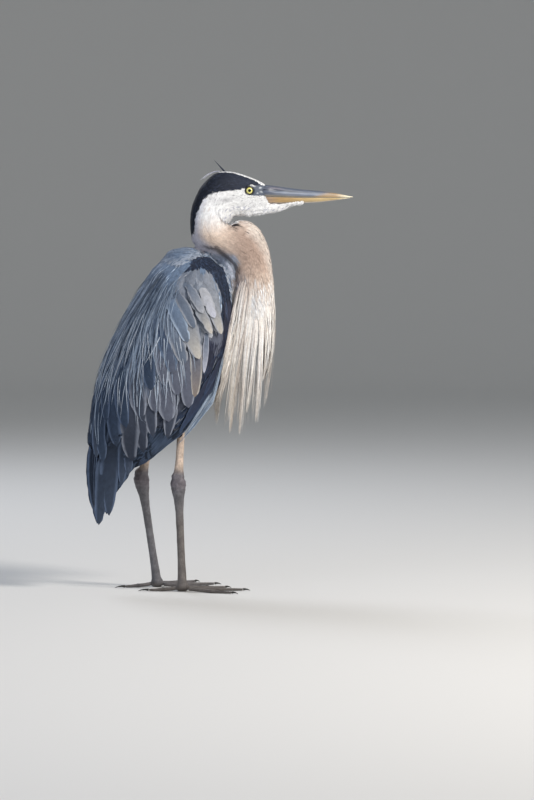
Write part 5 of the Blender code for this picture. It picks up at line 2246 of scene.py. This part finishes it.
    def streaks(self) -> None:
        """A few long pale feathers that run down the flanks' outline over the dark ones."""
        rng, count, size = self.rng, 40, 10
        share = np.linspace(0, 1, size)[None]
        lines, ups = [], []
        for name, sign in SIDES.items():
            first = rng.uniform(0.020, 0.067, (count, 1))
            x = first - rng.uniform(0.018, 0.036, (count, 1)) * share
            over = rng.uniform(0.002, 0.026, (count, 1)) * (1 - 0.5 * share) + 0.0010 * np.sin(4 * share)
            z = self.map.skirt(x) + over
            y, normals = self.shells[name].at(x, z)
            lift = 0.0026 + 0.0030 * np.sin(math.pi * share) ** 0.5
            lines.append(self.at(x, sign * y, z) + normals * lift[..., None])
            ups.append(normals)
        spine, up = np.concatenate(lines), np.concatenate(ups)
        base = mix(Dye.BLUE_GREY, Dye.SILVER, rng.random(2 * count))
        bake = self.map.unwrap(self.map.own(spine[:, 0]), np.full(2 * count, FLESH.index("trunk")))
        self.strands(
            "flank_streaks", spine, up, rng.uniform(0.0004, 0.0008, 2 * count),
            self.gradient(base * 0.7, base, size), bake,
        )

    def breast(self) -> None:
        """The long white plumes of the lower neck, which hang in pointed locks."""
        rng, skin = self.rng, self.skin
        q = skin.middles
        lower = (skin.part == FLESH.index("neck_lower")) & (q[:, 2] < 0.535) & (q[:, 2] > 0.455)
        roots, index, own, part, bake = skin.roots(lower, 0.0031, rng)
        count, size, locks = len(roots), 15, 58
        normals = skin.surface.normals[index]
        forward = ramp(own[:, 0], 0.090, 0.158) * 0.5 + 0.5 * np.clip((own[:, 0] - 0.090) / 0.068, 0, 1)
        place = rng.random(locks)
        tips = np.array(self.breast_tips)
        at = place * (len(tips) - 1)
        lock_x = np.interp(at, np.arange(len(tips)), tips[:, 0]) + rng.normal(0, 0.002, locks)
        short = rng.random(locks) ** 2.3 * 0.095
        lock_z = np.interp(at, np.arange(len(tips)), tips[:, 1]) + 0.003 + short
        lock_y = rng.uniform(-0.017, 0.017, locks)
        gap = (forward[:, None] - place[None]) ** 2 + ((own[:, 1:2] * 0.75 - lock_y[None]) / 0.05) ** 2
        lock = (gap + rng.random((count, locks)) * 0.005).argmin(axis=1)
        loose = rng.random(count) < 0.25
        x = lock_x[lock] + rng.normal(0, 0.0012, count) + loose * rng.normal(0, 0.006, count)
        y = lock_y[lock] + rng.normal(0, 0.0012, count)
        z = lock_z[lock] + rng.random(count) ** 2.0 * 0.05 + 0.02 * loose
        low, high = (self.map.own(np.array(v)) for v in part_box("breast_plumes"))
        end = self.at(np.clip(x, low[0] + 0.001, high[0] - 0.004), y, np.maximum(z, low[2] + 0.001))
        share = np.linspace(0, 1, size)[None, :, None]
        start = roots - normals * 0.0005
        out = normals * 0.014 * np.array([0.9, 0.7, 0.0]) + np.array([0.0, 0.0, -0.052])
        knee = start + out + np.array([0.25, 0.1, 0.0]) * (end - start)
        flank = ramp(np.abs(own[:, 1]), 0.016, 0.030) * ramp(-forward, -0.55, -0.10)
        knee[:, 0] -= 0.012 * flank
        spine = start[:, None] * (1 - share) ** 2 + 2 * knee[:, None] * share * (1 - share)
        spine = spine + end[:, None] * share**2
        sway = np.sin(share[..., 0] * 6 + rng.uniform(0, 6, (count, 1))) * 0.0013 * share[..., 0]
        spine[..., 0] += sway
        spine[..., 1] += sway[:, ::-1] * 0.4
        bird = self.map.own(spine)
        for name, sign in SIDES.items():
            wing, _ = self.shells[name].at(bird[..., 0], bird[..., 2])
            near = ramp(-bird[..., 0], -0.090, -0.070) * (own[:, 1] * sign > 0.014)[:, None]
            beyond = np.maximum(wing + 0.0025 - bird[..., 1] * sign, 0) * near
            for _ in range(10):  # the plume bends gently out over the wing
                beyond[:, 1:-1] = (beyond[:, :-2] + beyond[:, 1:-1] + beyond[:, 2:]) / 3
            bird[..., 1] += sign * beyond * ramp(share[..., 0], 0.0, 0.25)
        spine = bird + self.map.origin
        up = unit(normals + np.array([0.15, 0, 0]))[:, None] + 0 * spine
        white = mix(Dye.IVORY, Dye.WHITE, rng.random(count)) * rng.uniform(0.96, 1.06, (count, 1))
        # The locks' tips go browner, more so towards the rear: partly the plumes' own buff, partly painted
        # shade among the hanging tips.
        brown = mix(Dye.STRAW, Dye.CREAM, rng.random(count))
        browned_tip = mix(white, brown, rng.uniform(0.0, 0.8, count) * (1.0 - 0.7 * forward))
        shaded = (rng.random(count) < 0.26) * rng.uniform(0.2, 0.7, count)
        white, browned_tip = mix(white, Dye.TAN_DARK, shaded), mix(browned_tip, Dye.TAN_DARK, shaded)
        local, _ = self.map.dyes(own, part, np.full(count, int(Zone.THROAT)))
        plume = self.gradient(white, browned_tip, size, 3.0)
        fades = ramp(share[..., 0] + 0 * spine[..., 0], 0.0, 0.40)
        pieces = self.strands(
            "breast_locks", spine, up, rng.uniform(0.0007, 0.0013, count),
            mix(local[:, None] + 0 * spine, plume, fades), bake,
        )
        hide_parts("breast_plumes")

    def crest(self) -> None:
        """The thin plumes of the crown, along their CAD nodes."""
        size = 12
        share = np.linspace(0, 1, size)
        for name, dye, count, width in (
            ("crest_plume_raised", Dye.CAP_SHEEN, 4, 0.0008), ("crest_plume_lying", Dye.LAVENDER, 2, 0.0007)
        ):
            low, high = (np.array(v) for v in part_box(name))
            rise = share if name.endswith("raised") else -(share**2.2)
            first = low[2] if name.endswith("raised") else high[2]
            spines = []
            for i in range(count):
                reach = 1 - 0.16 * i
                x = high[0] + (low[0] - high[0]) * share * reach
                y = (low[1] + high[1]) / 2 + (0.0009 * (i - 1) + 0.001 * np.sin(3 * share))
                z = first + (high[2] - low[2]) * rise * reach - 0.0004 * i
                spines.append(np.stack([x, y, z], 1))
            spine = np.array(spines)
            up = np.tile([[[0.0, 1.0, 0.25]]], (count, size, 1))
            base = np.tile(dye.rgb, (count, 1))
            pieces = self.strands(
                f"{name}_feather", spine, up, np.full(count, width), self.gradient(base, base * 1.3, size),
                np.tile([[0.2, 0.5]], (count, 1)), (1.0, 1.0, 0.8, 0.5, 0.3),
            )
            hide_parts(name)

    def chin(self) -> None:
        """The ragged white fringe under the bill's base and along the chin."""
        rng, count, size = self.rng, 520, 6
        t = rng.random(count)
        x = 0.118 + 0.096 * t
        turn = rng.uniform(-1, 1, count)
        y = read(self.chin_half, x) * np.sign(turn) * np.abs(turn) ** 0.5
        root = self.at(x, y, read(self.chin_rim, x) + 0.0045 * np.abs(turn))
        angle = np.radians(rng.normal(-42, 10, count))
        heading = np.stack([np.sin(angle), 0.12 * np.sign(turn), -np.cos(angle)], 1)
        share = np.linspace(0, 1, size)[None, :, None]
        length = rng.uniform(0.006, 0.0105, count) * (1 - 0.35 * t)
        spine = root[:, None] + unit(heading)[:, None] * share * length[:, None, None]
        up = np.stack([0 * turn, np.sign(turn), 0.2 + 0 * turn], 1)[:, None] + 0 * spine
        base = np.tile(Dye.WHITE.rgb, (count, 1)) * rng.uniform(0.88, 1.0, (count, 1))
        own = self.map.own(root)
        bake = self.map.unwrap(own, np.zeros(count, int))
        self.strands(
            "chin_fringe", spine, up, np.full(count, 0.0008), self.gradient(base, base, size), bake,
        )

    def throat(self) -> None:
        """Long black and white feathers along the fold between the head and the neck."""
        skin, rng = self.skin, self.rng
        q = skin.middles
        near = np.hypot(q[:, 0] - 0.083, q[:, 2] - 0.626) < 0.0095
        middle = (skin.part == FLESH.index("neck_middle")) & near & (q[:, 2] > 0.612)
        spine, up, own, bake = self.combed(middle, 0.0021, (0.009, 0.022), 8, 10, 0.0016)
        count = len(spine)
        black = np.sin(own[:, 1] / 0.0011 + 1.5 * rng.random(count)) > 0.35
        base = np.where(black[:, None], Dye.JET.rgb, Dye.WHITE.rgb)
        self.strands(
            "throat_streaks", spine, up, np.full(count, 0.0010), self.gradient(base, base, 9), bake,
        )

    def build(self) -> None:
        """Makes every kind in turn."""
        self.tract(Zone.COVERT, 0.0075, 0.030, 0.0058, 0.0024)
        self.tract(Zone.WING, 0.0115, 0.050, 0.0090, 0.0026)
        self.wing()
        self.flight()
        self.tail()
        self.back()
        q = self.skin.middles
        over = q[:, 2] - self.map.skirt(q[:, 0])
        flank = (self.skin.zone != Zone.BARE) & (over > 0.002) & (over < 0.050) & (np.abs(q[:, 1]) > 0.012)
        flank &= (q[:, 0] > -0.030) & ~self.map.is_neck(self.skin.part) & (self.skin.zone != Zone.THIGH)
        self.hanging("flank_blades", flank, 0.0031, (Dye.INK, Dye.INK_BLUE, Dye.PALE_GREY))
        self.streaks()
        self.breast()
        self.crest()
        self.chin()
        self.throat()


# ---------------------------------------------------------------------------------------------
# Bill and eyes


class BillDye(Palette):
    """The colours of the bill's horn."""

    SLATE = "#5f697d"
    SLATE_PALE = "#98a3b4"
    GROOVE = "#3a3f4b"
    FLESH = "#94868c"
    ORANGE = "#bd9c6a"
    YELLOW = "#d2bf92"
    TIP = "#efe6c8"
    PALE = "#e3d9cf"


@dataclass
class Bill:
    """The two mandibles, each a long tapering half cone with a sharp cutting edge."""

    map: BodyMap
    finish: Material
    around: int = 28
    rows: int = 72
    # X, Z of the cutting edge, depth and half width, from the base to the tip.
    upper: tuple = (
        (0.1360, 0.6694, 0.0188, 0.0100), (0.1530, 0.6693, 0.0190, 0.0110),
        (0.1820, 0.6683, 0.0163, 0.0091), (0.2120, 0.6676, 0.0134, 0.0071),
        (0.2410, 0.6676, 0.0109, 0.0052), (0.2600, 0.6677, 0.0085, 0.0039),
        (0.2800, 0.6677, 0.0050, 0.0025), (0.3000, 0.6680, 0.0008, 0.0005),
    )
    lower: tuple = (
        (0.1420, 0.6688, 0.0118, 0.0096), (0.1530, 0.6687, 0.0122, 0.0102),
        (0.1820, 0.6677, 0.0104, 0.0084), (0.2120, 0.6670, 0.0087, 0.0065),
        (0.2410, 0.6670, 0.0075, 0.0046), (0.2640, 0.6671, 0.0049, 0.0032),
        (0.2840, 0.6671, 0.0023, 0.0018), (0.2945, 0.6673, 0.0007, 0.0004),
    )

    def build(self) -> None:
        """Makes both mandibles."""
        for name, rows, sign in (("bill_upper", self.upper, 1.0), ("bill_lower", self.lower, -1.0)):
            table = curve(list(rows), self.rows)
            angle = np.linspace(0, math.pi, self.around)
            arch = np.sin(angle) ** 0.85
            over = np.cos(angle)
            x = np.repeat(table[:, :1], self.around, 1)
            half = table[:, 3:4] * np.sign(over) * np.abs(over) ** 0.92
            rise = table[:, 2:3] * arch
            x, half, rise = self.carved(name, x, half, rise, table)
            z = table[:, 1:2] + sign * rise
            inner = half[:, 1:-1]
            level = table[:, 1:2] + sign * 0.0003 + 0 * inner
            floor = np.stack([x[:, 1:-1], inner * 0.96, level], -1)
            shell = np.stack([x, half, z], -1)
            rings = np.concatenate([shell, floor[:, ::-1]], 1)
            root, tip = rings[0].mean(axis=0), rings[-1].mean(axis=0) + [0.0005, 0, 0]
            points = np.vstack([root, rings.reshape(-1, 3), tip])
            triangles, squares = ring_faces(1, self.rows, rings.shape[1])
            if sign < 0:
                triangles, squares = triangles[:, ::-1], squares[:, ::-1]
            mesh = mesh_from(f"{name}_horn", points + self.map.origin, triangles, squares)
            dye_mesh(mesh, "tint", self.dyes(name, points, table))
            piece = show(mesh, [self.finish])
            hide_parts(name)
        log.info("bill: done")

    @staticmethod
    def carved(name: str, x: Array, half: Array, rise: Array, table: Array) -> tuple[Array, Array, Array]:
        """Cuts the nostril's groove into the upper mandible and a fine line into the lower.

        Args:
            name: the mandible's name.
            x: along the bill.
            half: half width.
            rise: height off its cutting edge.
            table: the mandible's outline.

        Returns:
            The new x, half and rise.
        """
        level = rise / np.maximum(table[:, 2:3], 1e-5)
        if name == "bill_upper":
            groove = bell(level, 0.60, 0.11) * ramp(x, 0.150, 0.158) * ramp(-x, -0.222, -0.178)
            slit = bell(level, 0.56, 0.06) * np.exp(-(((x - 0.168) / 0.0075) ** 4))
            shrink = 1 - 0.10 * groove - 0.16 * slit
            return x, half * shrink, rise
        groove = bell(level, 0.55, 0.12) * ramp(-x, -0.25, -0.17)
        return x, half * (1 - 0.05 * groove), rise

    @staticmethod
    def dyes(name: str, q: Array, table: Array) -> Array:
        """The horn's colours over a mandible.

        Args:
            name: the mandible's name.
            q: its points.
            table: the mandible's outline.

        Returns:
            A colour for each point.
        """
        x = q[:, 0]
        edge = np.interp(x, table[:, 0], table[:, 1])
        depth = np.interp(x, table[:, 0], table[:, 2])
        level = np.abs(q[:, 2] - edge) / np.maximum(depth, 1e-4)
        if name == "bill_upper":
            grain = 0.5 + 0.5 * np.sin(level * 31 + 1.3 * np.sin(x * 90) + np.sign(q[:, 1]))
            grain = grain * (0.6 + 0.4 * np.sin(level * 67 + x * 240))
            shine = bell(level, 0.42, 0.13) * ramp(x, 0.155, 0.185)
            base, layers = BillDye.SLATE, (
                (BillDye.GROOVE, 0.55 * ramp(level, 0.60, 0.92)),
                (BillDye.SLATE_PALE, 0.75 * shine + 0.30 * grain),
                # painted shade darkening the nostril's carved groove
                (BillDye.GROOVE, bell(level, 0.60, 0.10) * ramp(-x, -0.235, -0.165) * 0.75),
                (BillDye.FLESH, bell(level, 0.78, 0.10) * bell(x, 0.165, 0.014) * 0.45),
                (BillDye.YELLOW, ramp(-level, -0.20, -0.06) * 0.55),
                (BillDye.GROOVE, 0.45 * (bell(level, 0.26, 0.10) * ramp(-x, -0.26, -0.2))),
                (BillDye.ORANGE, ramp(x + 0.03 * (0.6 - level), 0.238, 0.262) * 0.75),
            )
        else:
            base, layers = BillDye.ORANGE, (
                (BillDye.YELLOW, ramp(x, 0.17, 0.25) * 0.6), (BillDye.PALE, ramp(level, 0.72, 0.98) * 0.75),
                (BillDye.FLESH, 0.45 * ramp(-x, -0.176, -0.148)),
                # painted shade along the cutting edge near the base, where the mandibles meet
                (BillDye.GROOVE, 0.5 * ramp(-level, -0.16, -0.03) * ramp(-x, -0.25, -0.17))
            )
        for dye, share in layers:
            base = mix(base, dye, share)
        return mix(base, BillDye.TIP, ramp(x, 0.268, 0.292))


EYE_DEPTH = 0.70  # of an eyeball, as a share of its height


@dataclass
class Eyes:
    """Two round eyes, each with a dark lid, a yellow iris and a black pupil."""

    map: BodyMap
    pupil: float = 0.0026  # radii seen from the side
    iris: float = 0.0053
    segments: int = 48

    def build(self) -> None:
        """Makes both eyes and their lids."""
        iris = EyeFinish("yellow_iris", "#ece88c", "#b9ad3e").make()
        pupil = EyeFinish("black_pupil", "#020203", "#050506", 0.1).make()
        dark = EyeFinish("dark_eyeball", "#15151a", "#1c1c22").make()
        lid = EyeFinish("moist_dark_lid", "#15161b", "#2c2f38", 0.45).make()
        for side, sign in SIDES.items():
            low, high = (np.array(v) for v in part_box(f"eye_{side}"))
            middle, radius = (low + high) / 2, (high - low).max() / 2
            piece = self.ball(f"eyeball_{side}", middle, radius, sign, [pupil, iris, dark])
            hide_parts(f"eye_{side}")
            self.ring(f"eyelid_{side}", middle, sign, lid)
        log.info("eyes: done")

    def ball(
        self, name: str, middle: Array, radius: float, sign: float, finishes: list[Material]
    ) -> bpy.types.Object:
        """An eyeball whose rings of faces end at the rims of the pupil and the iris.

        Args:
            name: the piece's name.
            middle: the eye's centre.
            radius: of the ball.
            sign: 1 for the left eye and -1 for the right.
            finishes: for the pupil, the iris and the rest.

        Returns:
            The piece.
        """
        seen = [0.0004, self.pupil * 0.6, self.pupil, self.pupil * 1.02]
        seen += list(np.linspace(self.pupil * 1.15, self.iris, 6)) + [self.iris * 1.02]
        angles = [math.asin(r / radius) for r in seen] + list(np.linspace(1.1, math.pi - 0.05, 10))
        turn = circle(self.segments)
        bulge = [radius * (1 + 0.05 * math.cos(min(a, 1.5)) ** 6) for a in angles]
        rings = []
        for a, r in zip(angles, bulge):
            wide, out = r * math.sin(a), sign * r * EYE_DEPTH * math.cos(a)
            rings.append(np.stack([wide * np.cos(turn), out + 0 * turn, wide * np.sin(turn)], 1))
        front, rear = (0, sign * bulge[0] * EYE_DEPTH, 0), (0, -sign * radius * EYE_DEPTH, 0)
        points = np.vstack([front, *rings, rear]) + middle
        triangles, squares = ring_faces(1, len(rings), self.segments)
        if sign > 0:
            triangles, squares = triangles[:, ::-1], squares[:, ::-1]
        mesh = mesh_from(name, points, triangles, squares)
        off = np.hypot(points[:, 0] - middle[0], points[:, 2] - middle[2])
        number_mesh(mesh, "ring_share", np.clip((off - self.iris * 0.78) / (self.iris * 0.22), 0, 1))
        piece = show(mesh, finishes)
        for face in mesh.polygons:
            spot = np.mean([points[v] for v in face.vertices], axis=0) - middle
            off = math.hypot(spot[0], spot[2]) if spot[1] * sign > 0 else radius
            face.material_index = 0 if off < self.pupil else 1 if off < self.iris else 2
        return piece

    def ring(self, name: str, middle: Array, sign: float, finish: Material) -> None:
        """The bare rim of the lids round an eye.

        Args:
            name: the piece's name.
            middle: the eye's centre.
            sign: 1 for the left eye and -1 for the right.
            finish: the lid's material.
        """
        turn = circle(self.segments)
        tube = circle(10)
        wide = 0.0070 + 0.0002 * np.cos(2 * turn)
        thick = 0.00105
        rings = np.stack(
            [
                (wide[:, None] + thick * np.cos(tube)[None]) * np.cos(turn)[:, None] * 1.03,
                sign * (0.0024 + 0.0009 * np.sin(tube)[None] + 0 * turn[:, None]),
                (wide[:, None] + thick * np.cos(tube)[None]) * np.sin(turn)[:, None] * 0.98,
            ],
            -1,
        )
        points = rings.reshape(-1, 3) + middle
        i, j = np.meshgrid(np.arange(self.segments), np.arange(10), indexing="ij")
        a, b = (i + 1) % self.segments, (j + 1) % 10
        squares = np.stack([i * 10 + j, i * 10 + b, a * 10 + b, a * 10 + j], -1).reshape(-1, 4)
        if sign > 0:
            squares = squares[:, ::-1]
        mesh = mesh_from(name, points, np.zeros((0, 3), int), squares)
        number_mesh(mesh, "ring_share", 0.5 + 0.5 * wobble(points, 0.003))
        show(mesh, [finish])


def dress_claws(finish: Material) -> None:
    """Gives the claws their horn; their shapes are the CAD's.

    Args:
        finish: the horn.
    """
    for side in SIDES:
        for toe in TOES:
            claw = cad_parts[f"{toe}_claw_{side}"]
            claw.data.materials.clear()
            claw.data.materials.append(finish)
            claw.data.shade_smooth()


# ---------------------------------------------------------------------------------------------
# Studio


@dataclass
class Studio:
    """The pale floor, the soft lights and the camera."""

    map: BodyMap
    azimuth: float = -10.0
    elevation: float = 3.0
    distance: float = 6.0
    picture: tuple[float, float] = (0.908, 1.360)  # width and height of the view at the bird
    off_eyes: tuple[float, float] = (0.0305, -0.356)  # the view's middle from the eyes, right and up

    def axes(self) -> tuple[Vector, Vector, Vector]:
        """The camera's right, up and backward directions.

        Returns:
            Three unit vectors.
        """
        a, e = math.radians(self.azimuth), math.radians(self.elevation)
        back = Vector((math.sin(a) * math.cos(e), -math.cos(a) * math.cos(e), math.sin(e)))
        right = Vector((math.cos(a), math.sin(a), 0))
        return right, back.cross(right), back

    def camera(self) -> None:
        """Places the camera, with a long lens."""
        right, up, back = self.axes()
        near_eye = sum((np.array(v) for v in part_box("eye_right"))) / 2
        target = Vector(near_eye) + right * self.off_eyes[0] + up * self.off_eyes[1]
        data = bpy.data.cameras.new("camera")
        data.sensor_fit = "VERTICAL"
        data.sensor_height = 36.0
        data.lens = 36.0 * self.distance / self.picture[1]
        data.clip_end = 100.0
        made = placed("camera", data)
        turn = Matrix((right, up, back)).transposed()
        made.matrix_world = Matrix.Translation(target + back * self.distance) @ turn.to_4x4()
        bpy.context.scene.camera = made

    def lamp(
        self, name: str, spot: tuple[float, float, float], size: float, power: float, colour: str
    ) -> None:
        """A square soft light that faces the bird's breast.

        Args:
            name: the lamp's name.
            spot: where it hangs.
            size: its side.
            power: in watts.
            colour: as an sRGB hex value.
        """
        data = bpy.data.lights.new(name, "AREA")
        data.shape = "SQUARE"
        data.size = size
        data.energy = power
        data.color = linear(colour)[:3]
        made = placed(name, data)
        made.location = spot
        aim = Vector((0.0, 0.0, 0.42)) - made.location
        made.rotation_euler = aim.to_track_quat("-Z", "Y").to_euler()

    def build(self) -> None:
        """Sets up everything."""
        self.camera()
        self.lamp("key_light", (2.0, -2.0, 2.5), 0.9, 118.0, "#fff9f2")
        self.lamp("fill_light", (-2.4, -2.2, 1.6), 2.4, 20.0, "#dbe6ff")
        self.lamp("back_light", (-1.0, 2.4, 2.6), 1.4, 44.0, "#eef3ff")
        world = bpy.data.worlds.new("studio_air")
        world.use_nodes = True
        sky = world.node_tree.nodes["Background"]
        sky.inputs["Color"].default_value = linear("#dfe6ee")
        sky.inputs["Strength"].default_value = 0.36
        bpy.context.scene.world = world
        bpy.context.scene.view_settings.view_transform = "Standard"
        self.floor()

    def floor(self) -> None:
        """A round card whose rim curves up on every side, like a very wide shallow bowl."""
        flat, radius, height, turns = 6.6, 2.4, 4.5, 96
        arc = np.linspace(0, math.pi / 2, 16)
        reach = np.concatenate([[0.8], flat + radius * np.sin(arc), [flat + radius]])
        rise = np.concatenate([[0.0], radius * (1 - np.cos(arc)), [height]])
        turn = circle(turns)
        rings = np.stack(
            [reach[:, None] * np.cos(turn), reach[:, None] * np.sin(turn), rise[:, None] + 0 * turn], -1
        )
        points = np.vstack([[[0.0, 0.0, 0.0]], rings.reshape(-1, 3)])
        k = np.arange(turns)
        after = (k + 1) % turns
        fan = np.stack([0 * k, 1 + k, 1 + after], 1)
        squares = [
            np.stack([a + k, a + turns + k, a + turns + after, a + after], 1)
            for a in range(1, 1 + turns * (len(reach) - 1), turns)
        ]
        mesh = mesh_from("floor", points, fan, np.vstack(squares))
        mesh.materials.append(FloorFinish().make())
        made = placed("floor", mesh)
        made.location.z = -0.0002  # just under the soles


def main() -> None:
    """Builds the bird and its studio."""
    logging.basicConfig(level=logging.INFO, format="%(message)s")
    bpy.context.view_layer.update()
    body_map = BodyMap()
    plumage = PlumageFinish().make()
    leg_skin = LegFinish().make()
    skin = Skin(body_map)
    skin.build(SkinFinish().make(), leg_skin)
    coat = Coat(skin, plumage)
    coat.build()
    Plumes(coat, plumage).build()
    Bill(body_map, HornFinish("bill_horn").make()).build()
    Eyes(body_map).build()
    dress_claws(HornFinish("claw_horn", 0.4, 0.002, "#2b2925").make())
    Studio(body_map).build()
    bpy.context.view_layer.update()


if __name__ == "__main__":
    main()
